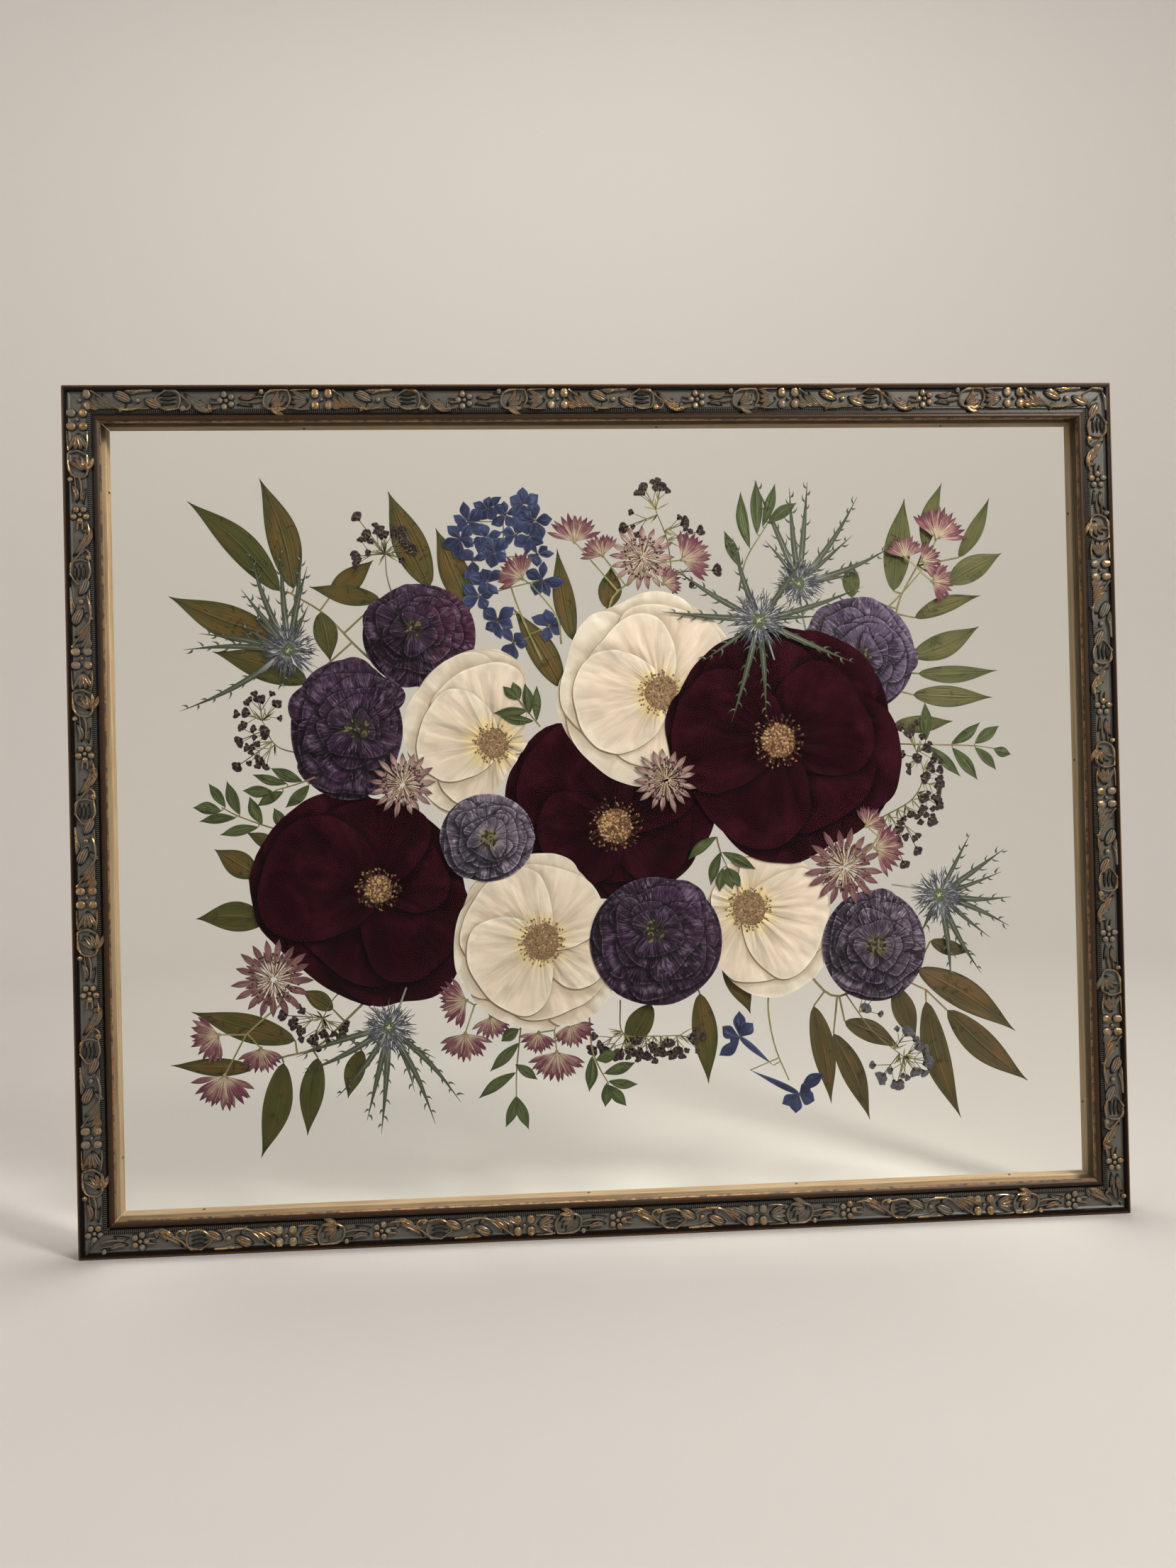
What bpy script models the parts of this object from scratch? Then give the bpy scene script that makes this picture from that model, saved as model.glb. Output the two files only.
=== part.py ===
"""Pressed flower frame.

Two panes of glass stand in a carved and mitred wood moulding. Flowers, leaves and buds are
pressed flat between the panes, and raw wood strips hold the panes in from behind.

The frame stands upright: X runs along its width, Y from its front to its back and Z up. The
origin is under its middle. Places on the frame's face are (x, z) in millimetres from there.
"""

import math

import bmesh
import bpy
from mathutils import Matrix, Vector

MM = 0.001

# Moulding, in millimetres. The glass is the standard 16 by 20 inch size.
GLASS_WIDTH = 508.0
GLASS_HEIGHT = 406.35
RAIL_WIDTH = 18.7
RABBET = 6.35
FRAME_WIDTH = GLASS_WIDTH + 2 * (RAIL_WIDTH - RABBET)
FRAME_HEIGHT = GLASS_HEIGHT + 2 * (RAIL_WIDTH - RABBET)
FRAME_DEPTH = 19.0
LIP_DEPTH = 2.3
GAP = 0.3

# Stack behind the lip, front to back
GLASS_THICKNESS = 1.6
LAYER_COUNT = 7
LAYER_THICKNESS = 0.27
LAYER_PITCH = LAYER_THICKNESS + 0.28
FRONT_GLASS = LIP_DEPTH + GAP
FIRST_LAYER = FRONT_GLASS + GLASS_THICKNESS + GAP
BACK_GLASS = FIRST_LAYER + LAYER_COUNT * LAYER_PITCH
STOP_FRONT = BACK_GLASS + GLASS_THICKNESS + GAP
STOP_BACK = FRAME_DEPTH - 1.8

# Stems, twigs and the stalks of leaves. A leaf's base is tucked into what carries it.
STEM_WIDTH = 1.5
TWIG_WIDTH = 1.0
LEAF_TUCK = 0.9
STALK_TUCK = 0.4
SHORTEST_STALK = 0.7
# A leaf that turns back over its stalk by more than this cosine has its stalk apart
LEAST_COSINE = 0.45

# Share of a layer's thickness that flat parts, inner petals and leaves fill
BASE_SHARE = 0.62
INNER_SHARE = 0.82
LEAF_SHARE = 0.8
# Joined outlines start and end at slightly different depths, so that no two faces coincide
STEP = 0.005
STEP_COUNT = 8

# Where a leaf is widest, as a share of its length from its base, and how full its edges are
LEAF_FULLEST = 0.42
LEAF_FULLNESS = 0.8
# A stem's width at its foot and at its end, as shares of its nominal width
STEM_FOOT = 1.25
STEM_END = 0.75

# Section of the moulding: distance in from the outer edge, and depth behind the front
RAIL_SECTION = [
    (0.0, 1.6),
    (0.7, 0.5),
    (1.8, 0.0),
    (2.8, 0.1),
    (3.3, 1.2),
    (4.2, 2.0),
    (8.0, 1.9),
    (11.2, 2.0),
    (12.2, 1.5),
    (12.9, 1.35),
    (13.8, 1.75),
    (15.2, 1.65),
    (15.7, 0.6),
    (16.5, 0.05),
    (17.4, 0.0),
    (18.3, 0.5),
    (RAIL_WIDTH, 1.3),
    (RAIL_WIDTH, LIP_DEPTH),
    (RAIL_WIDTH - RABBET, LIP_DEPTH),
    (RAIL_WIDTH - RABBET, FRAME_DEPTH),
    (0.8, FRAME_DEPTH),
    (0.0, FRAME_DEPTH - 0.8),
]
STOP_SECTION = [
    (RAIL_WIDTH - RABBET + GAP, STOP_FRONT),
    (RAIL_WIDTH - 0.3, STOP_FRONT),
    (RAIL_WIDTH, STOP_FRONT + 0.3),
    (RAIL_WIDTH, STOP_BACK - 0.6),
    (RAIL_WIDTH - 0.6, STOP_BACK),
    (RAIL_WIDTH - RABBET + GAP, STOP_BACK),
]

# Layers of the bouquet, from 0 at the front pane to 6 at the back pane. Outlines that overlap
# on the frame's face lie in different layers.
# Roses: layer, middle of the stamens, radius of the stamens, and the outline's corners
ROSES = {
    "rose_red_left": (4, (-117, 178), 9.5, [
        (-163, 216), (-180, 198), (-182, 169), (-167, 152), (-147, 133), (-134, 123),
        (-124, 116), (-108, 122), (-88, 122), (-78, 135), (-73, 160), (-76, 188), (-92, 214),
        (-120, 226), (-145, 225),
    ]),
    "rose_red_middle": (3, (3, 207), 12.0, [
        (-24, 263), (-44, 250), (-52, 226), (-46, 196), (-34, 180), (-12, 172), (12, 173),
        (36, 180), (50, 196), (53, 220), (44, 244), (22, 256), (0, 254),
    ]),
    "rose_red_right": (1, (88, 248.5), 12.0, [
        (28, 257), (39, 280), (54, 297), (78, 308), (106, 307), (126, 297), (144, 281),
        (149, 258), (149, 218), (128, 197), (108, 191), (92, 184.5), (72, 189), (60, 198),
        (44, 222),
    ]),
    "rose_white_upper_left": (2, (-57.7, 250), 8.5, [
        (-64, 298), (-82, 292), (-97, 277), (-103, 262), (-98, 238), (-92, 224), (-82, 214),
        (-66, 219), (-54, 231), (-47, 245), (-42, 258), (-41, 276), (-44, 290),
    ]),
    "rose_white_top": (2, (28, 274), 10.0, [
        (-19, 292), (-8, 316), (8.5, 319), (28, 329), (45, 321), (62, 302), (64, 280),
        (56, 252), (38, 232), (15, 226), (-10, 241), (-27, 268),
    ]),
    "rose_white_lower_left": (2, (-35.6, 149), 10.5, [
        (-58, 189), (-72, 179), (-78, 158), (-79, 136), (-66, 116), (-42, 104), (-18, 108),
        (-1, 121), (0, 146), (-6, 172), (-18, 189), (-38, 193),
    ]),
    "rose_white_lower_right": (2, (71, 163), 10.0, [
        (58, 184), (50, 168), (52, 144), (62, 127), (80, 118), (98, 121), (110, 134),
        (115, 154), (110, 174), (96, 186), (76, 189),
    ]),
}
RED_ROSE_COLOUR = (0.055, 0.006, 0.014)
WHITE_ROSE_COLOUR = (0.79, 0.70, 0.57)
ROSE_LOBES = 5
ROSE_NOTCH = 0.18
# Radius of the inner petals as a share of the rose's width
ROSE_INNER = 0.27
STAMEN_CORNERS = 8

# Ranunculus: layer, middle, half width, half height, and the middle of the pistil
RANUNCULUS = {
    "ranunculus_upper_left": (4, (-93.5, 305.5), 30.0, 27.0, (-97, 308.6)),
    "ranunculus_left": (3, (-131, 258.5), 28.5, 38.0, (-125.7, 258.7)),
    "ranunculus_centre_left": (1, (-61.7, 202.5), 25.0, 23.0, (-61, 202)),
    "ranunculus_centre": (1, (23, 147.5), 35.5, 34.0, (22, 153)),
    "ranunculus_right": (2, (131, 292), 31.0, 31.0, (133, 291)),
    "ranunculus_lower_right": (1, (135.5, 142.0), 28.0, 30.0, (137, 142)),
}
RANUNCULUS_COLOUR = (0.075, 0.045, 0.085)
RANUNCULUS_LOBES = 7
RANUNCULUS_NOTCH = 0.1
# Size of the inner petals as a share of the whole flower, and how deep their lobes are
RANUNCULUS_INNER = 0.5
RANUNCULUS_INNER_LOBES = 5
RANUNCULUS_INNER_NOTCH = 0.2
RANUNCULUS_INNER_TURN = 1.0
PISTIL_RADIUS = 4.5
PISTIL_CORNERS = 7

# Astrantia heads seen from the front: layer, middle and radius
ASTRANTIA_HEADS = {
    "astrantia_head_left": (0, (-103.4, 230.4), 16.5),
    "astrantia_head_centre": (0, (29.5, 229.6), 16.5),
    "astrantia_head_lower_left": (3, (-169.9, 134.3), 20.0),
}
# Branching astrantia: layer, the stem's route, and each head's foot, the way it points in
# degrees from +X, and its reach. A head that points at no angle is seen from the front.
ASTRANTIA_SPRIGS = {
    "astrantia_sprig_top": (4, [(4, 300), (4, 322), (20, 336), (20.5, 343.5)], [
        ((-14, 352), 90, 15), ((0.3, 344.7), 120, 12), ((40.8, 342.2), 25, 16),
        ((31, 330), 30, 10), ((20.5, 343.5), None, 17),
    ]),
    "astrantia_sprig_upper_left": (4, [(-22, 300), (-24, 314), (-36, 330)], [
        ((-41, 333.5), 135, 14),
    ]),
    "astrantia_sprig_right": (0, [(139, 198), (136, 194), (132, 190), (124, 185)], [
        ((137.2, 192), 0, 16), ((133, 203.6), 55, 11), ((120.8, 182.9), None, 20),
    ]),
    "astrantia_sprig_upper_right": (3, [(138, 312), (148, 317), (160, 329), (168, 338)], [
        ((173.7, 351.6), 70, 17), ((157.3, 342), 95, 12), ((165.8, 340), 15, 11),
        ((171, 329.4), 0, 12),
    ]),
    "astrantia_sprig_lower_left": (4, [(-166, 122), (-176, 114), (-184, 107)], [
        ((-197.4, 107.4), 205, 15), ((-177, 100), 270, 13), ((-195, 87), 262, 18),
    ]),
    "astrantia_sprig_bottom_left": (3, [(-62, 130), (-64, 122), (-70, 118)], [
        ((-74, 120.6), 190, 15), ((-62, 112), 285, 12), ((-75, 104), 268, 15),
    ]),
    "astrantia_sprig_bottom": (3, [(-20, 122), (-25, 112), (-30, 104)], [
        ((-21.5, 107.3), 285, 13), ((-38, 103), 262, 11), ((-29, 93), 270, 16),
    ]),
}
ASTRANTIA_COLOUR = (0.36, 0.17, 0.19)
BRACT_COUNT = 13
BRACT_NOTCH = 0.2
# Disc of florets: its radius as a share of the head's
FLORETS = 0.55
FLORET_CORNERS = 10
FAN_BRACTS = 5
FAN_SPREAD = 120.0
FAN_NOTCH = 0.28

# Eryngium: layer, middle of the head, its radius, the tips of its bracts, and the stem's route
ERYNGIUM = {
    "eryngium_upper_left": (5, (-159, 299), 10.0, [
        (-177.7, 351), (-162, 351), (-152, 350), (-203, 308), (-211, 300), (-213.4, 269.3),
        (-183, 312), (-148.6, 322), (-162, 280), (-182, 330),
    ], [(-159, 299), (-147, 287), (-136, 276)]),
    "eryngium_centre": (0, (79.6, 310.4), 11.0, [
        (67, 353), (29.5, 315.5), (36, 337.6), (134, 327), (129, 287.6), (82, 262),
        (64, 258), (104, 344), (50, 290), (112, 312),
    ], [(80, 308), (84, 300), (87, 290)]),
    "eryngium_top_right": (5, (101.3, 329.4), 9.0, [
        (79, 383), (97.5, 379), (107, 382), (133, 374), (130, 354), (151.5, 348.5),
        (133, 334), (84, 352),
    ], [(101, 327), (103, 312), (106, 298)]),
    "eryngium_right": (4, (171, 167), 10.0, [
        (188, 198), (206, 190), (209, 165), (207.5, 150), (197.5, 144), (192, 126),
        (176, 122), (204, 178), (160, 146),
    ], [(171, 169), (158, 171), (146, 173)]),
    "eryngium_bottom_left": (3, (-113, 108.4), 9.5, [
        (-156.5, 87), (-159.5, 95), (-125, 62), (-118, 55), (-91, 59), (-78, 69.4),
        (-101, 75.6), (-140, 74), (-90, 92),
    ], [(-113, 110), (-108, 118), (-104, 128)]),
}
ERYNGIUM_COLOUR = (0.13, 0.15, 0.13)
# Radius of the ruff between its bracts, as a share of the cone's height
ERYNGIUM_NECK = 0.8
CONE_CORNERS = 10
# Bracts that are further apart than this, in radians, have two corners between them, each this
# share of the way from one of the two bracts
WIDE_NOTCH = 0.5
NOTCH_SHARE = 0.18

# Delphinium: layer, the stem's route, and each petal's middle
DELPHINIUM = {
    "delphinium_top": (5, [(-32, 292), (-40, 310), (-47, 330), (-50, 350), (-50, 366)], [
        (-40, 372), (-58, 369), (-68, 361), (-34, 360), (-59, 352), (-44, 354), (-33, 345),
        (-65, 340), (-60, 326), (-33, 330), (-54, 313), (-46, 301), (-28, 311), (-70, 349),
    ]),
    "delphinium_bottom": (4, [(82, 128), (80, 112), (83, 92), (90, 74)], [
        (68, 108), (60, 100), (58, 89), (71, 98), (98, 74), (103, 64), (93, 60), (77, 82),
    ]),
}
DELPHINIUM_COLOUR = (0.06, 0.09, 0.21)
DELPHINIUM_PETAL = 5.6
DELPHINIUM_PETAL_WIDTH = 9.0
DELPHINIUM_FULLEST = 0.55

# Ruscus: layer, the stem's route, and each leaf's tip, base and width
RUSCUS = {
    "ruscus_upper_left": (6, [(-112, 288), (-125, 300), (-141, 317), (-158, 328)], [
        ((-208, 374.6), (-163, 329), 15), ((-172, 386), (-156, 330), 16),
        ((-218, 327), (-165, 306), 17), ((-197, 299), (-150, 283), 15),
        ((-148.6, 331), (-113, 324), 10), ((-138.6, 293), (-143, 318), 12),
        ((-116, 344), (-138.6, 325), 12),
    ]),
    "ruscus_upper_middle": (6, [(-86, 296), (-82, 316), (-84, 330)], [
        ((-108, 379), (-88, 330), 17), ((-84.4, 360), (-68, 318), 15),
    ]),
    "ruscus_top_middle": (6, [(-10, 268), (-10, 298), (0, 316)], [
        ((-23, 349), (-16, 302), 11), ((4.4, 339.6), (2, 318), 12),
        ((-46, 318.6), (-22, 278), 14),
    ]),
    "ruscus_right": (6, [(140, 250), (147, 276), (150, 300), (154, 320), (164, 338)], [
        ((158, 373), (151, 325), 14), ((178, 381), (168, 347), 9), ((203, 373), (186, 342), 8),
        ((209, 344), (180, 329), 13), ((129, 341), (129, 322), 9), ((197, 322), (162, 311), 9),
        ((196, 306), (160, 291), 13), ((205, 283), (163, 282), 9), ((202, 269), (160, 271), 11),
        ((181, 257), (150, 256), 9),
    ]),
    "ruscus_lower_right": (6, [(100, 130), (116, 116), (142, 126), (163, 118)], [
        ((210, 95), (159, 129), 16), ((216, 69), (174, 107), 15), ((180, 51), (163, 112), 14),
        ((157, 91), (147, 120), 12), ((149, 88), (120, 103), 11), ((132, 52), (114, 97), 12),
        ((112, 61), (104, 111.5), 12), ((188, 137), (166, 143), 8),
    ]),
    "ruscus_bottom": (6, [(16, 122), (42, 128), (58, 142)], [
        ((6, 90), (20, 115), 13), ((48.5, 73.5), (45, 120), 13), ((71, 108.6), (58, 136), 12),
    ]),
    "ruscus_lower_left": (6, [(-118, 128), (-135, 112), (-150, 99), (-166, 95), (-181, 90)], [
        ((-211, 119), (-160, 103), 14), ((-221.6, 92.7), (-181, 90), 9),
        ((-178, 45), (-166, 92), 14), ((-155, 55), (-149, 94), 12), ((-134.5, 73), (-127, 97), 10),
        ((-156.5, 128), (-141, 118), 9),
    ]),
    "ruscus_left": (6, [(-146, 168), (-168, 166), (-172, 178), (-165, 200)], [
        ((-198, 200), (-177, 186), 13), ((-207.7, 165.4), (-173, 164), 15),
        ((-182, 208), (-167, 200), 7),
    ]),
}
RUSCUS_COLOUR = (0.13, 0.12, 0.035)

# Green sprigs: layer, the stem's route, and each leaflet's tip and base
LEAFLETS = {
    "green_sprig_upper_left": (5, [(-150, 206), (-166, 209), (-185, 216), (-194, 221)], [
        ((-200, 233), (-192, 221)), ((-191, 234), (-185, 217)), ((-208, 221), (-194, 219)),
        ((-205, 214), (-187, 215.5)), ((-180, 226), (-174, 212)), ((-195, 207), (-176, 210.5)),
        ((-168, 220), (-164, 209)),
    ]),
    "green_sprig_left": (2, [(-147, 235), (-155, 232), (-166, 229)], [
        ((-178, 237), (-161, 232)), ((-169, 240), (-153.5, 233)), ((-183, 229), (-168, 228)),
        ((-176, 221), (-163, 228)), ((-162, 220), (-150, 231)),
    ]),
    "green_sprig_bottom_left": (5, [(-45, 122), (-47, 105), (-49.5, 84), (-50, 70)], [
        ((-63, 84), (-48, 98)), ((-69, 70.6), (-50, 83)), ((-55.6, 55.5), (-50, 71)),
        ((-44, 54), (-50, 71)), ((-39, 79), (-50, 87)), ((-57, 99), (-48, 105)),
    ]),
    "green_sprig_bottom": (4, [(-12, 110), (-11, 94), (-7, 83), (-3, 76)], [
        ((-13, 72), (-11, 90)), ((6, 64), (-3, 75)), ((2, 92), (-9, 88)),
        ((11, 86), (-5, 81)), ((12, 75), (-3, 77)), ((-5, 64), (-4, 76)),
    ]),
    "green_sprig_right": (5, [(146, 246), (165, 245), (190, 244), (204, 242)], [
        ((195, 256), (179.5, 245)), ((205, 254), (192, 245)), ((184, 228), (168, 244)),
        ((193, 226), (180, 243)), ((203, 231), (192, 243)), ((211, 239), (202, 242)),
        ((166, 267), (166, 247)),
    ]),
    "green_sprig_top_right": (4, [(70, 326), (74, 342), (84, 358)], [
        ((72, 377), (76, 348)), ((90, 381), (83, 359)), ((80, 383), (80, 355)),
        ((101, 371), (86, 361)), ((63, 357), (71, 338)),
    ]),
}
LEAFLET_COLOUR = (0.085, 0.12, 0.045)
LEAFLET_WIDTH = 5.5

# Bud sprigs: layer, the stem's route, and each bud's middle
BUDS = {
    "bud_sprig_upper_left": (5, [(-104, 318), (-109, 334), (-110, 347)], [
        (-119, 357), (-110, 357), (-101, 356), (-96, 349), (-125, 346), (-124, 366),
    ]),
    "bud_sprig_top": (5, [(36, 322), (34, 350), (28, 368)], [
        (22, 380), (31, 380), (11, 359), (43, 361), (51, 357), (59, 337),
    ]),
    "bud_sprig_left": (5, [(-150, 246), (-166, 251), (-173, 264)], [
        (-174, 275), (-165, 272), (-181, 268), (-185, 254), (-175, 244), (-186, 241), (-172, 258),
    ]),
    "bud_sprig_bottom": (5, [(4, 118), (5, 101), (20, 99), (34, 99)], [
        (-11, 93), (-4, 91), (3, 91), (10, 91), (17, 89), (24, 91), (41, 97), (33, 91),
    ]),
    "bud_sprig_right": (3, [(142, 208), (158, 217), (164, 230), (160, 243)], [
        (157, 251), (166, 243), (172, 233), (173, 223), (172, 213), (168, 205), (159, 196),
        (153, 188), (156, 209),
    ]),
    "statice_sprig": (3, [(120, 118), (134, 98), (150, 84)], [
        (131, 110), (152.5, 97), (158, 89), (163, 81), (156, 76), (138, 74), (146, 69),
    ]),
}
BUD_COLOUR = (0.03, 0.018, 0.03)
BUD_LENGTH = 7.0
BUD_WIDTH = 5.2
BUD_FULLEST = 0.5


def empty_the_scene():
    """Remove every object that the file opened with."""
    for thing in list(bpy.data.objects):
        bpy.data.objects.remove(thing, do_unlink=True)


def new_collection(name):
    """Return an empty collection linked to the scene."""
    collection = bpy.data.collections.new(name)
    bpy.context.scene.collection.children.link(collection)
    return collection


def finish(name, colour, roughness, metallic=0.0, transmission=0.0):
    """Return a material with one Principled shader."""
    material = bpy.data.materials.new(name)
    material.use_nodes = True
    shader = material.node_tree.nodes["Principled BSDF"]
    shader.inputs["Base Color"].default_value = (*colour, 1.0)
    shader.inputs["Roughness"].default_value = roughness
    shader.inputs["Metallic"].default_value = metallic
    shader.inputs["Transmission Weight"].default_value = transmission
    material.diffuse_color = (*colour, 1.0)
    return material


def simplify(mesh, placement):
    """Weld a mesh, merge faces that lie in one plane, and put it in its place."""
    shape = bmesh.new()
    shape.from_mesh(mesh)
    bmesh.ops.remove_doubles(shape, verts=shape.verts, dist=1e-6)
    bmesh.ops.dissolve_limit(shape, angle_limit=0.01, verts=shape.verts, edges=shape.edges)
    shape.transform(placement)
    shape.to_mesh(mesh)
    shape.free()


def mesh_of_curve(curve_object):
    """Replace a curve object by a welded mesh object in the same place."""
    graph = bpy.context.evaluated_depsgraph_get()
    mesh = bpy.data.meshes.new_from_object(curve_object.evaluated_get(graph))
    simplify(mesh, curve_object.matrix_world)
    name = curve_object.name
    bpy.data.objects.remove(curve_object, do_unlink=True)
    return bpy.data.objects.new(name, mesh)


def flat_outline(name, points, thickness, placement, rounded=False):
    """Return a flat plate as a mesh object. The outline and thickness are in millimetres."""
    curve = bpy.data.curves.new(name, "CURVE")
    curve.dimensions = "2D"
    curve.fill_mode = "BOTH"
    curve.extrude = thickness * MM / 2
    curve.resolution_u = 2
    spline = curve.splines.new("BEZIER" if rounded else "POLY")
    corners = spline.bezier_points if rounded else spline.points
    corners.add(len(points) - 1)
    for corner, (across, up) in zip(corners, points):
        if rounded:
            corner.handle_left_type = "AUTO"
            corner.handle_right_type = "AUTO"
            corner.co = (across * MM, up * MM, 0.0)
        else:
            corner.co = (across * MM, up * MM, 0.0, 1.0)
    spline.use_cyclic_u = True
    plate = bpy.data.objects.new(name, curve)
    plate.matrix_world = placement
    bpy.context.scene.collection.objects.link(plate)
    bpy.context.view_layer.update()
    return mesh_of_curve(plate)


def mitred_strip(name, section, length, half_span, angle, material, collection):
    """Extrude a section along one side of the frame and cut both ends at 45 degrees."""
    front = -FRAME_DEPTH / 2 * MM
    across_to_up = Matrix(((0, 0, -1, 0), (0, 1, 0, front), (1, 0, 0, 0), (0, 0, 0, 1)))
    strip = flat_outline(name, section, length, across_to_up)
    shape = bmesh.new()
    shape.from_mesh(strip.data)
    for end in (-1, 1):
        corner = Vector((end * (length - GAP) / 2 * MM, 0.0, 0.0))
        bmesh.ops.bisect_plane(
            shape,
            geom=shape.verts[:] + shape.edges[:] + shape.faces[:],
            dist=1e-7,
            plane_co=corner,
            plane_no=Vector((end, 0.0, 1.0)),
            clear_outer=True,
        )
        rim = [edge for edge in shape.edges if edge.is_boundary]
        bmesh.ops.contextual_create(shape, geom=rim)
    bmesh.ops.recalc_face_normals(shape, faces=shape.faces)
    middle = Matrix.Translation((0.0, 0.0, FRAME_HEIGHT / 2 * MM))
    outward = Matrix.Translation((0.0, 0.0, -half_span * MM))
    shape.transform(middle @ Matrix.Rotation(angle, 4, "Y") @ outward)
    shape.to_mesh(strip.data)
    shape.free()
    strip.data.materials.append(material)
    collection.objects.link(strip)


def four_sides(kind, section, material, collection):
    """Make the bottom, left, top and right strips of a mitred surround."""
    sides = {
        "bottom": (FRAME_WIDTH, FRAME_HEIGHT / 2),
        "left": (FRAME_HEIGHT, FRAME_WIDTH / 2),
        "top": (FRAME_WIDTH, FRAME_HEIGHT / 2),
        "right": (FRAME_HEIGHT, FRAME_WIDTH / 2),
    }
    for turn, (side, (length, half_span)) in enumerate(sides.items()):
        angle = math.radians(90 * turn)
        mitred_strip(f"{kind}_{side}", section, length, half_span, angle, material, collection)


def glass_pane(name, front, material, collection):
    """Make one pane, a little smaller than the rabbet that holds it."""
    depth = front + GLASS_THICKNESS / 2 - FRAME_DEPTH / 2
    shape = bmesh.new()
    bmesh.ops.create_cube(shape, size=1.0)
    size = (GLASS_WIDTH - 2 * GAP, GLASS_THICKNESS, GLASS_HEIGHT - 2 * GAP)
    bmesh.ops.scale(shape, verts=shape.verts, vec=Vector(size) * MM)
    mesh = bpy.data.meshes.new(name)
    shape.to_mesh(mesh)
    shape.free()
    mesh.materials.append(material)
    pane = bpy.data.objects.new(name, mesh)
    pane.location = (0.0, depth * MM, FRAME_HEIGHT / 2 * MM)
    collection.objects.link(pane)


def unit(start, end):
    """Return the direction from one point to another, and the distance."""
    dx = end[0] - start[0]
    dz = end[1] - start[1]
    length = math.hypot(dx, dz)
    return (dx / length, dz / length), length


def along(start, direction, forward, aside=0.0):
    """Return the point that lies forward along a direction, and aside to its left."""
    return (
        start[0] + direction[0] * forward - direction[1] * aside,
        start[1] + direction[1] * forward + direction[0] * aside,
    )


def leaf_outline(base, tip, width, stations=2, fullest=LEAF_FULLEST):
    """Return a pointed leaf: both edges swell from the base and meet at the tip. Each edge has
    as many corners as there are stations."""
    direction, length = unit(base, tip)
    steps = [(step + 1) / (stations + 1) for step in range(stations)]
    bend = math.log(0.5) / math.log(fullest)
    halves = [width / 2 * math.sin(math.pi * share**bend) ** LEAF_FULLNESS for share in steps]
    swell = list(zip(steps, halves))
    left = [along(base, direction, share * length, half) for share, half in swell]
    right = [along(base, direction, share * length, -half) for share, half in reversed(swell)]
    return [along(base, direction, -LEAF_TUCK), *left, tip, *right]


def stem_outline(route, width):
    """Return a narrow band along a route, a little wider at its foot."""
    left = []
    right = []
    for place, point in enumerate(route):
        before = route[max(place - 1, 0)]
        after = route[min(place + 1, len(route) - 1)]
        direction, _ = unit(before, after)
        share = place / (len(route) - 1)
        half = width / 2 * (STEM_FOOT + (STEM_END - STEM_FOOT) * share)
        left.append(along(point, direction, 0.0, half))
        right.append(along(point, direction, 0.0, -half))
    return left + right[::-1]


def nearest_on(route, point):
    """Return the point of a route that is nearest to another point."""
    best = None
    for start, end in zip(route, route[1:]):
        direction, length = unit(start, end)
        reach = (point[0] - start[0]) * direction[0] + (point[1] - start[1]) * direction[1]
        foot = along(start, direction, min(max(reach, 0.0), length))
        distance = math.dist(foot, point)
        if best is None or distance < best[0]:
            best = (distance, foot)
    return best[1]


def lobed_outline(middle, half_width, half_height, lobes, depth, points, turn=0.0):
    """Return a round outline whose edge rises and falls once for each lobe."""
    outline = []
    for step in range(points):
        angle = 2 * math.pi * step / points
        reach = 1 - depth * (0.5 - 0.5 * math.cos(lobes * angle + turn))
        outline.append((
            middle[0] + half_width * reach * math.cos(angle),
            middle[1] + half_height * reach * math.sin(angle),
        ))
    return outline


def round_outline(middle, half_width, half_height, corners):
    """Return a circle or an oval."""
    return lobed_outline(middle, half_width, half_height, 0, 0.0, corners)


def star_outline(middle, tips, neck):
    """Return a star with the given tips, drawn in to the neck radius between them."""
    bearings = sorted((math.atan2(z - middle[1], x - middle[0]), (x, z)) for x, z in tips)
    outline = []
    for place, (bearing, tip) in enumerate(bearings):
        following = bearings[(place + 1) % len(bearings)][0]
        if following <= bearing:
            following += 2 * math.pi
        outline.append(tip)
        spread = following - bearing
        notches = (NOTCH_SHARE, 1.0 - NOTCH_SHARE) if spread > WIDE_NOTCH else (0.5,)
        for share in notches:
            angle = bearing + share * spread
            outline.append((middle[0] + neck * math.cos(angle), middle[1] + neck * math.sin(angle)))
    return outline


def fan_outline(foot, pointing, reach):
    """Return a head seen from the side: pointed bracts that open from its foot."""
    outline = []
    steps = 2 * FAN_BRACTS - 2
    for step in range(steps + 1):
        angle = math.radians(pointing + FAN_SPREAD * (0.5 - step / steps))
        length = reach if step % 2 == 0 else reach * (1 - FAN_NOTCH)
        outline.append((foot[0] + length * math.cos(angle), foot[1] + length * math.sin(angle)))
    direction = (math.cos(math.radians(pointing)), math.sin(math.radians(pointing)))
    return [along(foot, direction, -LEAF_TUCK), *outline]


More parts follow.
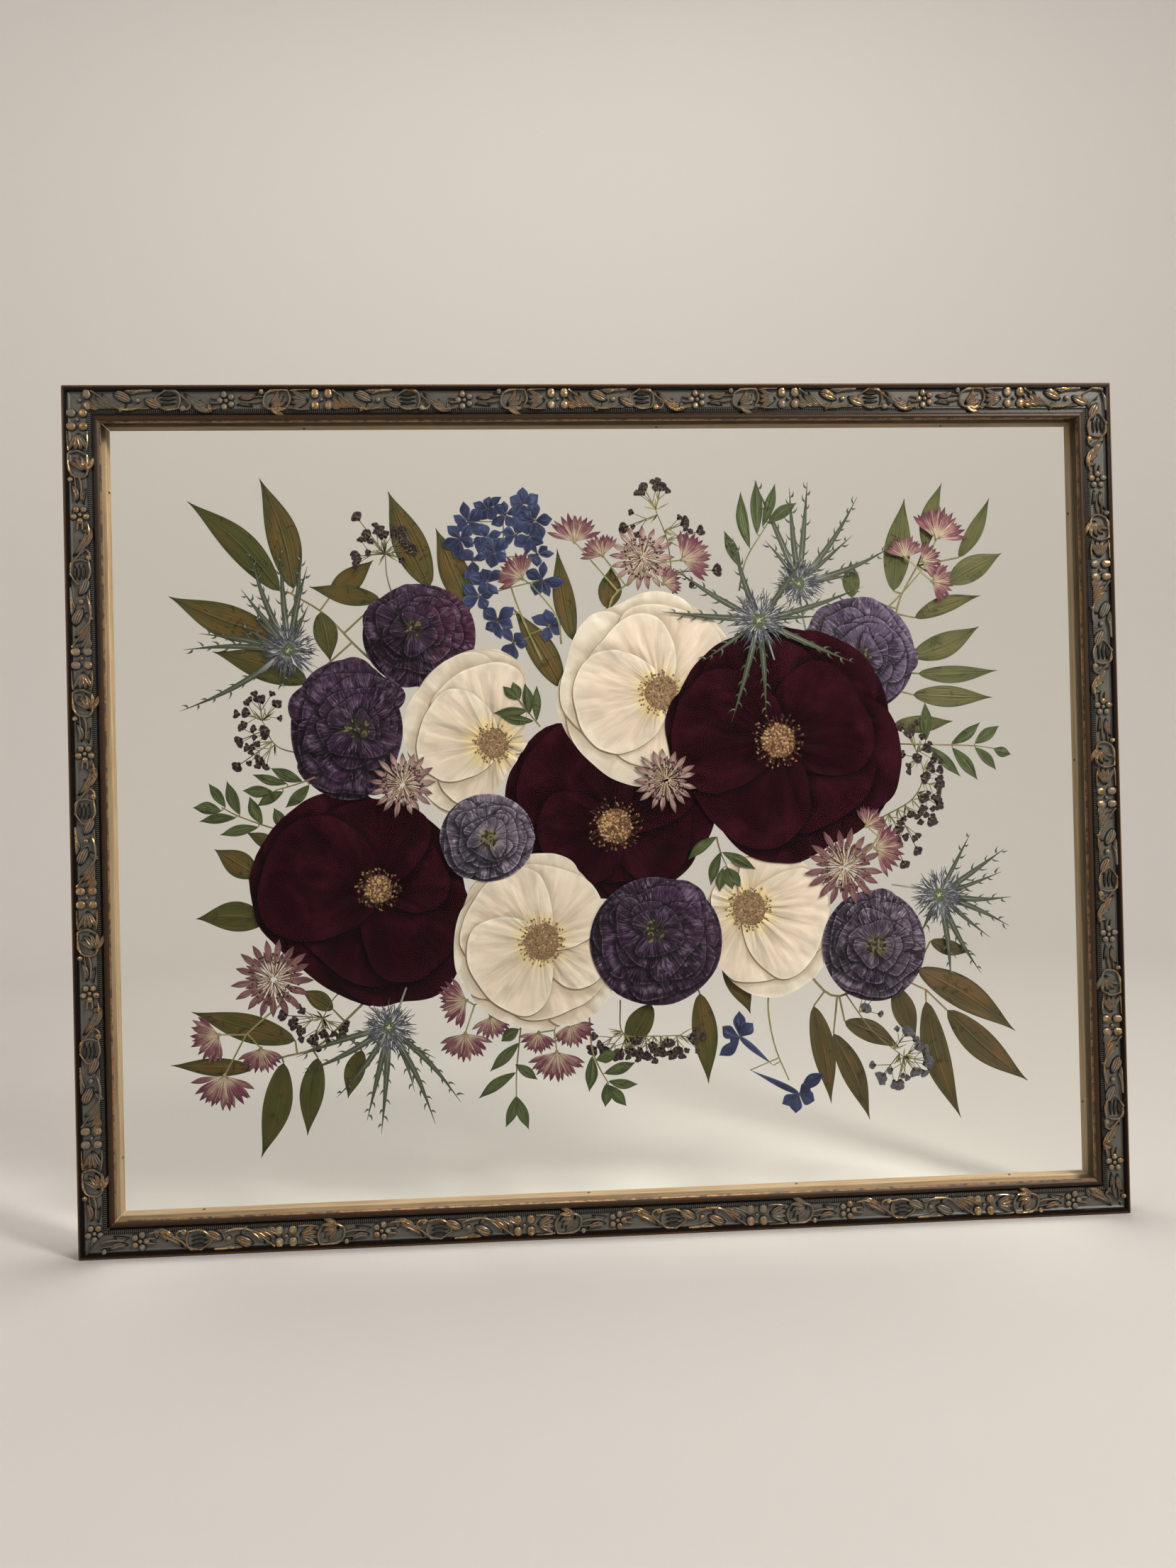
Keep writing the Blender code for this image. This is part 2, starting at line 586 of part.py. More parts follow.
def pressed_piece(name, layer, outlines, material, collection):
    """Join flat outlines into one solid in a layer. Each outline is (points, share, rounded):
    share is how much of the layer's thickness it fills, measured from its back."""
    back = FIRST_LAYER + layer * LAYER_PITCH + LAYER_THICKNESS - FRAME_DEPTH / 2
    facing = Matrix.Rotation(math.radians(90), 4, "X")
    plates = []
    for number, (points, share, rounded) in enumerate(outlines):
        step = STEP * (1 + number % STEP_COUNT) if number else 0.0
        thickness = LAYER_THICKNESS * share - 2 * step
        middle = back - step - thickness / 2
        placement = Matrix.Translation((0.0, middle * MM, 0.0)) @ facing
        plates.append(flat_outline(f"{name}_{number}", points, thickness, placement, rounded))
    piece = plates[0]
    piece.name = name
    piece.data.name = name
    collection.objects.link(piece)
    if len(plates) > 1:
        join_into(piece, plates[1:])
    piece.data.materials.clear()
    piece.data.materials.append(material)


def join_into(piece, others):
    """Unite other solids with a piece, and remove them."""
    operands = new_collection(f"{piece.name}_operands")
    for other in others:
        operands.objects.link(other)
    union = piece.modifiers.new("Unite", "BOOLEAN")
    union.operation = "UNION"
    union.operand_type = "COLLECTION"
    union.collection = operands
    union.solver = "EXACT"
    union.use_self = True
    graph = bpy.context.evaluated_depsgraph_get()
    united = bpy.data.meshes.new_from_object(piece.evaluated_get(graph))
    piece.modifiers.remove(union)
    simplify(united, Matrix.Identity(4))
    piece.data = united
    for other in others:
        bpy.data.objects.remove(other, do_unlink=True)
    bpy.data.collections.remove(operands)


def stalked(stem, base, outline):
    """Return a leaf's outline with its stalk. The outline's first point, at its base, is drawn
    out to the nearest point of the stem, unless the leaf turns back over its stalk."""
    foot = nearest_on(stem, base)
    if math.dist(foot, base) < SHORTEST_STALK:
        return [outline]
    direction, length = unit(foot, base)
    middle = [sum(values) / len(outline) for values in zip(*outline)]
    leaf_direction, _ = unit(base, middle)
    half = TWIG_WIDTH / 2
    if direction[0] * leaf_direction[0] + direction[1] * leaf_direction[1] < LEAST_COSINE:
        route = [along(foot, direction, -STALK_TUCK), along(base, leaf_direction, TWIG_WIDTH)]
        return [outline, stem_outline(route, TWIG_WIDTH)]
    stalk = [
        along(foot, direction, length, -half),
        along(foot, direction, -STALK_TUCK, -half),
        along(foot, direction, -STALK_TUCK, half),
        along(foot, direction, length, half),
    ]
    return [[*stalk, *outline[1:]]]


def sprig(name, layer, stem, tips, material, collection):
    """Join a stem with what grows on it. Each tip is (its base, its outline, share)."""
    outlines = [(stem_outline(stem, STEM_WIDTH), 1.0, False)]
    for base, outline, share in tips:
        outlines += [(points, share, False) for points in stalked(stem, base, outline)]
    pressed_piece(name, layer, outlines, material, collection)


def pointing_away(stem, middle, half_length):
    """Return the base and tip of a bud or petal that points away from a stem."""
    direction, _ = unit(nearest_on(stem, middle), middle)
    return along(middle, direction, -half_length), along(middle, direction, half_length)


def make_roses(collection):
    """Make the open roses: wide outer petals, inner petals, and a disc of stamens."""
    for name, (layer, middle, radius, corners) in ROSES.items():
        colour = RED_ROSE_COLOUR if "red" in name else WHITE_ROSE_COLOUR
        width = max(x for x, _ in corners) - min(x for x, _ in corners)
        reach = width * ROSE_INNER
        inner = lobed_outline(middle, reach, reach, ROSE_LOBES, ROSE_NOTCH, 3 * ROSE_LOBES)
        stamens = round_outline(middle, radius, radius, STAMEN_CORNERS)
        outlines = [(corners, BASE_SHARE, True), (inner, INNER_SHARE, False), (stamens, 1.0, False)]
        pressed_piece(name, layer, outlines, finish(name, colour, 0.75), collection)


def make_ranunculus(collection):
    """Make the ranunculus: lobed, crumpled petals around a small pistil."""
    for name, (layer, middle, half_width, half_height, heart) in RANUNCULUS.items():
        petals = lobed_outline(
            middle, half_width, half_height, RANUNCULUS_LOBES, RANUNCULUS_NOTCH,
            3 * RANUNCULUS_LOBES,
        )
        inner = lobed_outline(
            heart, half_width * RANUNCULUS_INNER, half_height * RANUNCULUS_INNER,
            RANUNCULUS_INNER_LOBES, RANUNCULUS_INNER_NOTCH, 2 * RANUNCULUS_INNER_LOBES,
            RANUNCULUS_INNER_TURN,
        )
        pistil = round_outline(heart, PISTIL_RADIUS, PISTIL_RADIUS, PISTIL_CORNERS)
        outlines = [(petals, BASE_SHARE, False), (inner, INNER_SHARE, False), (pistil, 1.0, False)]
        pressed_piece(name, layer, outlines, finish(name, RANUNCULUS_COLOUR, 0.8), collection)


def make_astrantia(collection):
    """Make the star-shaped heads, seen from the front and from the side."""
    for name, (layer, middle, radius) in ASTRANTIA_HEADS.items():
        bracts = lobed_outline(middle, radius, radius, BRACT_COUNT, BRACT_NOTCH, 2 * BRACT_COUNT)
        florets = round_outline(middle, radius * FLORETS, radius * FLORETS, FLORET_CORNERS)
        outlines = [(bracts, BASE_SHARE, False), (florets, 1.0, False)]
        pressed_piece(name, layer, outlines, finish(name, ASTRANTIA_COLOUR, 0.8), collection)
    for name, (layer, stem, heads) in ASTRANTIA_SPRIGS.items():
        tips = []
        for foot, pointing, reach in heads:
            if pointing is None:
                head = lobed_outline(foot, reach, reach, BRACT_COUNT, BRACT_NOTCH, 2 * BRACT_COUNT)
                tips.append((foot, head, LEAF_SHARE))
            else:
                tips.append((foot, fan_outline(foot, pointing, reach), LEAF_SHARE))
        sprig(name, layer, stem, tips, finish(name, ASTRANTIA_COLOUR, 0.8), collection)


def make_eryngium(collection):
    """Make the sea holly heads: a domed cone in a ruff of long spiny bracts."""
    for name, (layer, middle, radius, tips, stem) in ERYNGIUM.items():
        bracts = star_outline(middle, tips, radius * ERYNGIUM_NECK)
        cone = round_outline(middle, radius * ERYNGIUM_NECK, radius, CONE_CORNERS)
        outlines = [
            (bracts, BASE_SHARE, False),
            (stem_outline(stem, STEM_WIDTH), LEAF_SHARE, False),
            (cone, 1.0, False),
        ]
        pressed_piece(name, layer, outlines, finish(name, ERYNGIUM_COLOUR, 0.7), collection)


def make_delphinium(collection):
    """Make the blue sprays: small petals on a branching stem."""
    for name, (layer, stem, petals) in DELPHINIUM.items():
        ends = [pointing_away(stem, middle, DELPHINIUM_PETAL) for middle in petals]
        tips = [
            (
                base,
                leaf_outline(base, tip, DELPHINIUM_PETAL_WIDTH, 1, DELPHINIUM_FULLEST),
                LEAF_SHARE,
            )
            for base, tip in ends
        ]
        sprig(name, layer, stem, tips, finish(name, DELPHINIUM_COLOUR, 0.8), collection)


def make_foliage(collection):
    """Make the ruscus leaves, the green leaflets and the buds, each sprig on its stem."""
    for name, (layer, stem, leaves) in RUSCUS.items():
        tips = [
            (base, leaf_outline(base, tip, width), LEAF_SHARE) for tip, base, width in leaves
        ]
        sprig(name, layer, stem, tips, finish(name, RUSCUS_COLOUR, 0.6), collection)
    for name, (layer, stem, leaflets) in LEAFLETS.items():
        tips = [
            (base, leaf_outline(base, tip, LEAFLET_WIDTH, 1), LEAF_SHARE) for tip, base in leaflets
        ]
        sprig(name, layer, stem, tips, finish(name, LEAFLET_COLOUR, 0.7), collection)
    for name, (layer, stem, buds) in BUDS.items():
        ends = [pointing_away(stem, middle, BUD_LENGTH / 2) for middle in buds]
        tips = [
            (base, leaf_outline(base, tip, BUD_WIDTH, 1, BUD_FULLEST), LEAF_SHARE)
            for base, tip in ends
        ]
        sprig(name, layer, stem, tips, finish(name, BUD_COLOUR, 0.6), collection)


def main():
    """Make the whole frame."""
    empty_the_scene()
    collection = new_collection("pressed flower frame")
    carved_wood = finish("carved_wood", (0.06, 0.045, 0.03), 0.45, metallic=0.4)
    raw_wood = finish("raw_wood", (0.51, 0.33, 0.14), 0.8)
    clear_glass = finish("clear_glass", (0.95, 0.97, 0.96), 0.02, transmission=1.0)
    four_sides("rail", RAIL_SECTION, carved_wood, collection)
    four_sides("stop", STOP_SECTION, raw_wood, collection)
    glass_pane("glass_front", FRONT_GLASS, clear_glass, collection)
    glass_pane("glass_back", BACK_GLASS, clear_glass, collection)
    make_roses(collection)
    make_ranunculus(collection)
    make_astrantia(collection)
    make_eryngium(collection)
    make_delphinium(collection)
    make_foliage(collection)


main()
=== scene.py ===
# %% [markdown]
# # A frame of pressed flowers
#
# The real object is a picture frame of dark, carved and gilded moulding. It holds two panes of
# glass, and between them lie roses, ranunculus, astrantia, sea holly, delphinium, leaves and
# buds, all dried flat. Bare wood strips keep the panes in from behind.
#
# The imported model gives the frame's rails, strips and panes at their real size, and one flat
# solid for each flower or sprig. Here those flat solids are replaced by flowers that are built
# petal by petal, and every surface gets its finish. Sizes on the frame are in millimetres, and
# places on its face are (x, z) pairs as in the model. The camera, floor and lights are placed
# in metres.

import math
import random

import bpy
import numpy as np
from mathutils import Matrix, Vector


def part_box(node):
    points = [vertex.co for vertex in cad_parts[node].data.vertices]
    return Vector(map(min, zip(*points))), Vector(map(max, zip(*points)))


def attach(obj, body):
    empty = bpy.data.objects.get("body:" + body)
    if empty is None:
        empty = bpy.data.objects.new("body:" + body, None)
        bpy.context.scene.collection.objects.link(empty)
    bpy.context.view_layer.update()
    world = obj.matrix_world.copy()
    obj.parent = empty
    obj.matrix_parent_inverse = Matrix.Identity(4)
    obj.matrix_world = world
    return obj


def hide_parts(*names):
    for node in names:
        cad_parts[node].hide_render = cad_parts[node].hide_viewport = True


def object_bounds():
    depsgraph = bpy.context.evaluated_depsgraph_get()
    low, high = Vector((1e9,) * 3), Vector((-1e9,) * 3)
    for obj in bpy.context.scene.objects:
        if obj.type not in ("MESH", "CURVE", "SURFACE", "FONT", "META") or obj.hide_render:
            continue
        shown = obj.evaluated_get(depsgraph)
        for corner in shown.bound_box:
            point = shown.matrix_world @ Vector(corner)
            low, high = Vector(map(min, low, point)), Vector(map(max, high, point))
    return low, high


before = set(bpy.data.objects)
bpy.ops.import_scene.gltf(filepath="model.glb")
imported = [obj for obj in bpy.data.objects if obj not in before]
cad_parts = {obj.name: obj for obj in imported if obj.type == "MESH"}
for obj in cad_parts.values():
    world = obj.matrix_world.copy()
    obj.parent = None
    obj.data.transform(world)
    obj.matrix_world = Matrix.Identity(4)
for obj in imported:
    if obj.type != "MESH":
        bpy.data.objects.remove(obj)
cad_low, cad_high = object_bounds()
MM = 0.001
WIDTH = (cad_high.x - cad_low.x) / MM
HEIGHT = cad_high.z / MM
FRONT = cad_low.y / MM
BACK = cad_high.y / MM
print(f"frame {WIDTH:.1f} wide, {HEIGHT:.1f} high, {BACK - FRONT:.1f} deep, in mm")

# %% [markdown]
# ## Camera, floor and light
#
# The photograph was taken from a little left of the frame's middle, at half its height and about
# 60 cm away. The lens is the one that makes the frame fill the picture as it does there. The
# floor is a wide shallow bowl, flat around the frame and turned up far away, so that every view
# ends in the same pale colour without a horizon. It is spun from its profile, as a potter would
# turn it. It is hidden from mirror reflections, because the front pane would otherwise lay
# its pale image as a veil over the dark petals.


# %% Camera
def only(*things):
    """Select these objects and nothing else. The first one is active."""
    bpy.ops.object.select_all(action="DESELECT")
    for thing in things:
        thing.select_set(True)
    bpy.context.view_layer.objects.active = things[0] if things else None


CAMERA_PLACE = Vector((-0.0469, -0.6122, 0.2250))
LOOKING = Vector((0.0605, 0.9981, 0.0057)).normalized()
CAMERA_UP = Vector((0.0224, -0.0070, 0.9997))
FOCAL_PIXELS = 1690.0
PICTURE_HEIGHT = 2212.0
SENSOR = 36.0

only()
bpy.ops.object.camera_add(location=CAMERA_PLACE)
camera = bpy.context.object
camera.name = "camera"
rightward = LOOKING.cross(CAMERA_UP).normalized()
upward = rightward.cross(LOOKING)
camera.rotation_euler = Matrix((rightward, upward, -LOOKING)).transposed().to_euler()
camera.data.sensor_width = SENSOR
camera.data.lens = FOCAL_PIXELS / PICTURE_HEIGHT * SENSOR
camera.data.clip_start = 0.01
bpy.context.scene.camera = camera
print(f"lens {camera.data.lens:.1f} mm")

# %% Floor
FLAT_RADIUS = 1.15
WALL_RADIUS = 1.75
WALL_HEIGHT = 3.4
TURN_STEPS = 64
CURVE_STEPS = 10

only()
bpy.ops.mesh.primitive_plane_add(size=0.01)
floor = bpy.context.object
floor.name = "floor"
bpy.ops.object.mode_set(mode="EDIT")
bpy.ops.mesh.select_all(action="SELECT")
bpy.ops.mesh.merge(type="CENTER")
bpy.ops.mesh.extrude_region_move(TRANSFORM_OT_translate={"value": (FLAT_RADIUS, 0, 0)})
bend_radius = WALL_RADIUS - FLAT_RADIUS
for step in range(CURVE_STEPS):
    start = math.radians(90 * step / CURVE_STEPS)
    end = math.radians(90 * (step + 1) / CURVE_STEPS)
    across = bend_radius * (math.sin(end) - math.sin(start))
    rise = bend_radius * (math.cos(start) - math.cos(end))
    bpy.ops.mesh.extrude_region_move(TRANSFORM_OT_translate={"value": (across, 0, rise)})
bpy.ops.mesh.extrude_region_move(
    TRANSFORM_OT_translate={"value": (0, 0, WALL_HEIGHT - bend_radius)}
)
bpy.ops.mesh.select_all(action="SELECT")
bpy.ops.mesh.spin(steps=TURN_STEPS, angle=2 * math.pi, center=(0, 0, 0), axis=(0, 0, 1))
bpy.ops.mesh.select_all(action="SELECT")
bpy.ops.mesh.remove_doubles(threshold=0.0001)
bpy.ops.mesh.normals_make_consistent(inside=True)
bpy.ops.object.mode_set(mode="OBJECT")
bpy.ops.object.shade_smooth()
floor.visible_glossy = False
print(len(floor.data.polygons), "faces in the floor")

# %% Lights
KEY_COLOUR = (1.0, 0.955, 0.89)
FILL_COLOUR = (0.90, 0.94, 1.0)


def soft_light(name, place, target, size, power, colour):
    """Add a square area light that faces a target."""
    only()
    bpy.ops.object.light_add(type="AREA", location=place)
    lamp = bpy.context.object
    lamp.name = name
    lamp.rotation_euler = (Vector(target) - Vector(place)).to_track_quat("-Z", "Y").to_euler()
    lamp.data.size = size
    lamp.data.energy = power
    lamp.data.color = colour
    return lamp


MIDDLE = (0.0, 0.0, HEIGHT / 2 * MM)
soft_light("key_light", (0.72, -0.75, 1.0), MIDDLE, 0.22, 10.0, KEY_COLOUR)
soft_light("fill_light", (-1.1, -0.75, 0.9), MIDDLE, 0.8, 2.6, FILL_COLOUR)
soft_light("back_light", (0.1, 0.55, 1.9), (0.0, 1.1, 0.4), 1.0, 15.0, KEY_COLOUR)

world = bpy.data.worlds.new("studio")
world.use_nodes = True
world.node_tree.nodes["Background"].inputs["Color"].default_value = (0.86, 0.90, 1.0, 1.0)
world.node_tree.nodes["Background"].inputs["Strength"].default_value = 0.02
bpy.context.scene.world = world
bpy.context.scene.view_settings.view_transform = "Standard"

# %% [markdown]
# ## Writing finishes as sums
#
# A finish is a graph of shader nodes, but it is thought of as a sum: so much vein colour where
# the vein mask is, so much edge colour near the edge. The class `Wire` wraps a socket so that
# such sums can be written down as they are thought. `Finish` holds one material and adds any
# other node by its type.


# %% Wires and finishes
class Wire:
    """The output of a node. Arithmetic on it adds Math nodes."""

    def __init__(self, finish, socket):
        self.finish = finish
        self.socket = socket

    def math(self, operation, *values):
        """Add one Math node that reads these values, this wire among them."""
        inputs = dict(enumerate(values))
        return self.finish.node("ShaderNodeMath", {"operation": operation}, inputs)

    def __add__(self, other):
        return self.math("ADD", self, other)

    __radd__ = __add__

    def __sub__(self, other):
        return self.math("SUBTRACT", self, other)

    def __rsub__(self, other):
        return self.math("SUBTRACT", other, self)

    def __mul__(self, other):
        return self.math("MULTIPLY", self, other)

    __rmul__ = __mul__

    def __truediv__(self, other):
        return self.math("DIVIDE", self, other)

    def __abs__(self):
        return self.math("ABSOLUTE", self)


class Finish:
    """One material with a Principled shader, and the nodes that feed it."""

    def __init__(self, name, roughness=0.6, specular=0.5):
        self.material = bpy.data.materials.new(name)
        self.material.use_nodes = True
        self.tree = self.material.node_tree
        self.shader = self.tree.nodes["Principled BSDF"]
        self.shader.inputs["Roughness"].default_value = roughness
        self.shader.inputs["Specular IOR Level"].default_value = specular

    def node(self, kind, settings=None, values=None, output=0):
        """Add a node. Its settings come first, then the values or wires of its sockets."""
        made = self.tree.nodes.new(kind)
        for name, setting in (settings or {}).items():
            setattr(made, name, setting)
        for key, value in (values or {}).items():
            if isinstance(value, Wire):
                self.tree.links.new(value.socket, made.inputs[key])
            elif isinstance(value, tuple) and len(made.inputs[key].default_value) == 4:
                made.inputs[key].default_value = (*value[:3], 1.0)
            else:
                made.inputs[key].default_value = value
        return Wire(self, made.outputs[output])

    def mix(self, share, under, over):
        """Mix two colours: the share is 0 for under and 1 for over."""
        values = {"Factor": share, "A": under, "B": over}
        made = self.tree.nodes.new("ShaderNodeMix")
        made.data_type = "RGBA"
        for socket in made.inputs:
            if socket.name not in values or (socket.name != "Factor" and socket.type != "RGBA"):
                continue
            if socket.name == "Factor" and socket.type != "VALUE":
                continue
            value = values[socket.name]
            if isinstance(value, Wire):
                self.tree.links.new(value.socket, socket)
            elif socket.name == "Factor":
                socket.default_value = value
            else:
                socket.default_value = (*value, 1.0)
        return Wire(self, made.outputs[2])

    def between(self, value, low, high):
        """Return 0 below low, 1 above high, and a smooth step from one to the other."""
        return self.node(
            "ShaderNodeMapRange",
            {"interpolation_type": "SMOOTHSTEP"},
            {"Value": value, "From Min": low, "From Max": high},
        )

    def below(self, value, low, high):
        """Return 1 below low, 0 above high, and a smooth step from one to the other."""
        return 1.0 - self.between(value, low, high)

    def noise(self, place, scale, detail=3.0, roughness=0.55, distortion=0.0):
        """Return smooth noise between about 0.25 and 0.75 at a place."""
        values = {
            "Vector": place,
            "Scale": scale,
            "Detail": detail,
            "Roughness": roughness,
            "Distortion": distortion,
        }
        return self.node("ShaderNodeTexNoise", {}, values)

    def place(self):
        """Return the place on the object, in metres."""
        return self.node("ShaderNodeTexCoord", output=3)

    def parts(self, vector):
        """Return the three numbers of a vector."""
        made = self.tree.nodes.new("ShaderNodeSeparateXYZ")
        self.tree.links.new(vector.socket, made.inputs[0])
        return [Wire(self, socket) for socket in made.outputs]

    def vector(self, x, y, z):
        """Return a vector of three numbers."""
        return self.node("ShaderNodeCombineXYZ", {}, {"X": x, "Y": y, "Z": z})

    def pattern(self, x, y, z, **settings):
        """Return noise over three numbers, each stretched by its own factor."""
        return self.noise(self.vector(x, y, z), 1.0, **settings)

    def own(self, name):
        """Return a number that the mesh holds at each point."""
        return self.node("ShaderNodeAttribute", {"attribute_name": name}, output=2)

    def laid(self):
        """Return the two numbers of the piece's own UV map."""
        return self.parts(self.node("ShaderNodeTexCoord", output=2))[:2]

    def colour(self, wire):
        """Use a wire as the colour."""
        self.tree.links.new(wire.socket, self.shader.inputs["Base Color"])

    def feed(self, name, wire):
        """Use a wire in one of the shader's other sockets."""
        self.tree.links.new(wire.socket, self.shader.inputs[name])

    def relief(self, height, depth):
        """Raise the surface by a height between 0 and 1, times a depth in millimetres."""
        bump = self.node(
            "ShaderNodeBump", {}, {"Height": height, "Distance": depth * MM, "Strength": 1.0}
        )
        self.tree.links.new(bump.socket, self.shader.inputs["Normal"])


# %% Floor finish
FLOOR_COLOUR = (0.74, 0.715, 0.69)

plain_floor = Finish("plain_floor", roughness=0.9, specular=0.1)
plain_floor.shader.inputs["Base Color"].default_value = (*FLOOR_COLOUR, 1.0)
floor.data.materials.append(plain_floor.material)

# %% [markdown]
# ## The moulding's finish
#
# The moulding was gilded with bronze, then covered with a dark patina, and rubbed. So the finish
# depends on where on the section a point is: near black on the outer fillet, grey in the
# band behind the carving, hatched across in the cove beside it, brown on the inner bead, and
# bare bronze in thin lines on the edges that hands and cloth reach. The distance from the
# frame's outer edge gives that place, and it is the same sum for all four rails.

# %% Moulding
FILLET = 3.0
BAND_EDGE = 11.9
COVE_EDGE = 14.2
BEAD = 15.6
SIGHT_EDGE = 18.1
HATCH_TURNS = 6.5
BLACK_BROWN = (0.010, 0.007, 0.006)
BAND_GREY = (0.190, 0.182, 0.155)
BEAD_BROWN = (0.060, 0.034, 0.018)
FILLET_BROWN = (0.032, 0.016, 0.009)
BRONZE = (0.58, 0.30, 0.115)
BACK_BROWN = (0.085, 0.052, 0.030)
GOLD = (0.90, 0.66, 0.32)


def moulding_finish(name, carved):
    """Return the patina. The carving is grey, dark in its hollows and gilded on its crests; the
    dark on the flanks of its shapes is patina and painted shade together.
    """
    finish = Finish(name, roughness=0.4, specular=0.4)
    place = finish.place()
    x, y, z = finish.parts(place)
    from_side = WIDTH / 2 - abs(x) / MM
    from_end = HEIGHT / 2 - abs(z / MM - HEIGHT / 2)
    inward = from_side.math("MINIMUM", from_side, from_end)
    depth = y / MM - FRONT
    fine = finish.noise(place, 900.0, detail=4.0)
    broad = finish.noise(place, 60.0, detail=2.0)
    wear = finish.between(finish.noise(place, 260.0, detail=5.0, roughness=0.7), 0.40, 0.58)
    if carved:
        across, _ = finish.laid()
        ribs = abs(across.math("SINE", across * 7.0))
        cut_in = finish.below(ribs, 0.15, 0.55) * finish.own("tint")
        crest = finish.below(depth + (fine - 0.5) * 0.5, 0.35, 0.85)
        top = finish.below(depth, 0.15, 0.50)
        # Darker on the flanks of each shape, down to the ground: patina and painted shade
        slope = finish.between(depth, 0.7, 1.2) * finish.below(depth, 1.75, 1.95)
        colour = finish.mix(slope * 0.9, BAND_GREY, BLACK_BROWN)
        rubbed = crest * (0.2 + wear * 0.8) * (0.3 + finish.between(broad, 0.40, 0.54) * 0.7)
        rubbed = rubbed * (1.0 - cut_in * 0.85)
        colour = finish.mix(rubbed, colour, BRONZE)
        bright = top * finish.between(fine, 0.40, 0.56) * finish.between(broad, 0.40, 0.56)
        bright = bright * (1.0 - cut_in)
        colour = finish.mix(bright, colour, GOLD)
        colour = finish.mix(cut_in * 0.8, colour, BLACK_BROWN)
        shine = rubbed * 0.6 + bright * 0.3
        height = fine * 0.5 - cut_in * 2.0
    else:
        upright = from_side.math("LESS_THAN", from_side, from_end)
        along = x * (1.0 - upright) + z * upright
        hatch = (along / MM * HATCH_TURNS).math("SINE", along / MM * HATCH_TURNS)
        in_band = finish.between(inward, FILLET + 0.2, FILLET + 0.9)
        in_band = in_band * finish.below(inward, BAND_EDGE - 0.3, BAND_EDGE + 0.2)
        in_cove = finish.between(inward, BAND_EDGE - 0.2, BAND_EDGE + 0.3)
        in_cove = in_cove * finish.below(inward, COVE_EDGE - 0.3, COVE_EDGE)
        on_bead = finish.between(inward, BEAD + 0.1, BEAD + 0.6)
        on_fillet = finish.below(inward, FILLET - 1.3, FILLET - 0.8)
        line = finish.between(inward, BEAD - 0.15, BEAD)
        line = line * finish.below(inward, BEAD + 0.1, BEAD + 0.3)
        edge = finish.between(inward, 0.15, 0.5) * finish.below(inward, 0.8, 1.3)
        sight = finish.between(inward, SIGHT_EDGE, SIGHT_EDGE + 0.25)
        rungs = finish.between(hatch, -0.2, 0.5)
        colour = finish.mix(in_band * (0.55 + broad * 0.45), BLACK_BROWN, BAND_GREY)
        colour = finish.mix(in_cove * rungs * 0.5, colour, BAND_GREY)
        colour = finish.mix(on_bead, colour, BEAD_BROWN)
        colour = finish.mix(on_fillet, colour, FILLET_BROWN)
        behind = finish.between(depth, 5.0, 6.5)
        colour = finish.mix(behind * (0.7 + broad * 0.3), colour, BACK_BROWN)
        rubbed = edge * 0.55 + line * (0.3 + wear * 0.5) + sight * wear * 0.5
        rubbed = rubbed * (1.0 - behind)
        colour = finish.mix(rubbed.math("MINIMUM", rubbed, 1.0), colour, BRONZE)
        shine = rubbed * 0.9
        height = fine * 0.35 + in_cove * rungs * 1.5
    finish.colour(colour)
    finish.feed("Metallic", shine)
    finish.feed("Roughness", 0.36 - shine * 0.12 + (fine - 0.5) * 0.3)
    finish.relief(height, 0.12)
    return finish.material


rail_patina = moulding_finish("rail_patina", carved=False)
carved_patina = moulding_finish("carved_patina", carved=True)


def wear_finish(node, material):
    """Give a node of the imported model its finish."""
    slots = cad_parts[node].data.materials
    slots.clear()
    slots.append(material)


SIDES = ("bottom", "left", "top", "right")
for side in SIDES:
    wear_finish(f"rail_{side}", rail_patina)

# %% [markdown]
# ## Bare wood and glass
#
# The strips behind the panes are pale pine that was never stained. Their grain runs along each
# strip, so the pattern is stretched along X on the level strips and along Z on the upright
# ones. The panes are picture glass of the kind that hardly mirrors, a solid that bends light.
# Plain glass would lay a pale veil of the room over the dark petals. They cast no shadow
# here, because a path tracer would find the light behind them only by luck.

# %% Strips
PINE = (0.43, 0.305, 0.185)
PINE_DARK = (0.30, 0.20, 0.11)


def pine_finish(name, upright):
    """Return bare wood with its grain along Z or along X."""
    finish = Finish(name, roughness=0.72, specular=0.3)
    x, y, z = finish.parts(finish.place())
    along, across = (z, x) if upright else (x, z)
    grain = finish.pattern(along * 18.0, across * 700.0, y * 700.0, detail=4.0, distortion=0.4)
    patches = finish.noise(finish.place(), 25.0)
    colour = finish.mix(finish.between(grain, 0.40, 0.66), PINE, PINE_DARK)
    colour = finish.mix(finish.between(patches, 0.45, 0.75) * 0.35, colour, (0.48, 0.36, 0.23))
    finish.colour(colour)
    finish.feed("Roughness", 0.66 + grain * 0.2)
    finish.relief(grain, 0.1)
    return finish.material


for side in SIDES:
    upright = side in ("left", "right")
    wear_finish(f"stop_{side}", pine_finish(f"pine_{side}", upright))

# %% Panes
glass = Finish("picture_glass", roughness=0.0)
glass.shader.inputs["Base Color"].default_value = (0.985, 0.995, 0.975, 1.0)
glass.shader.inputs["Transmission Weight"].default_value = 1.0
glass.shader.inputs["IOR"].default_value = 1.5
glass.shader.inputs["Specular Tint"].default_value = (0.2, 0.2, 0.2, 1.0)
for node in ("glass_front", "glass_back"):
    wear_finish(node, glass.material)
    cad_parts[node].visible_shadow = False

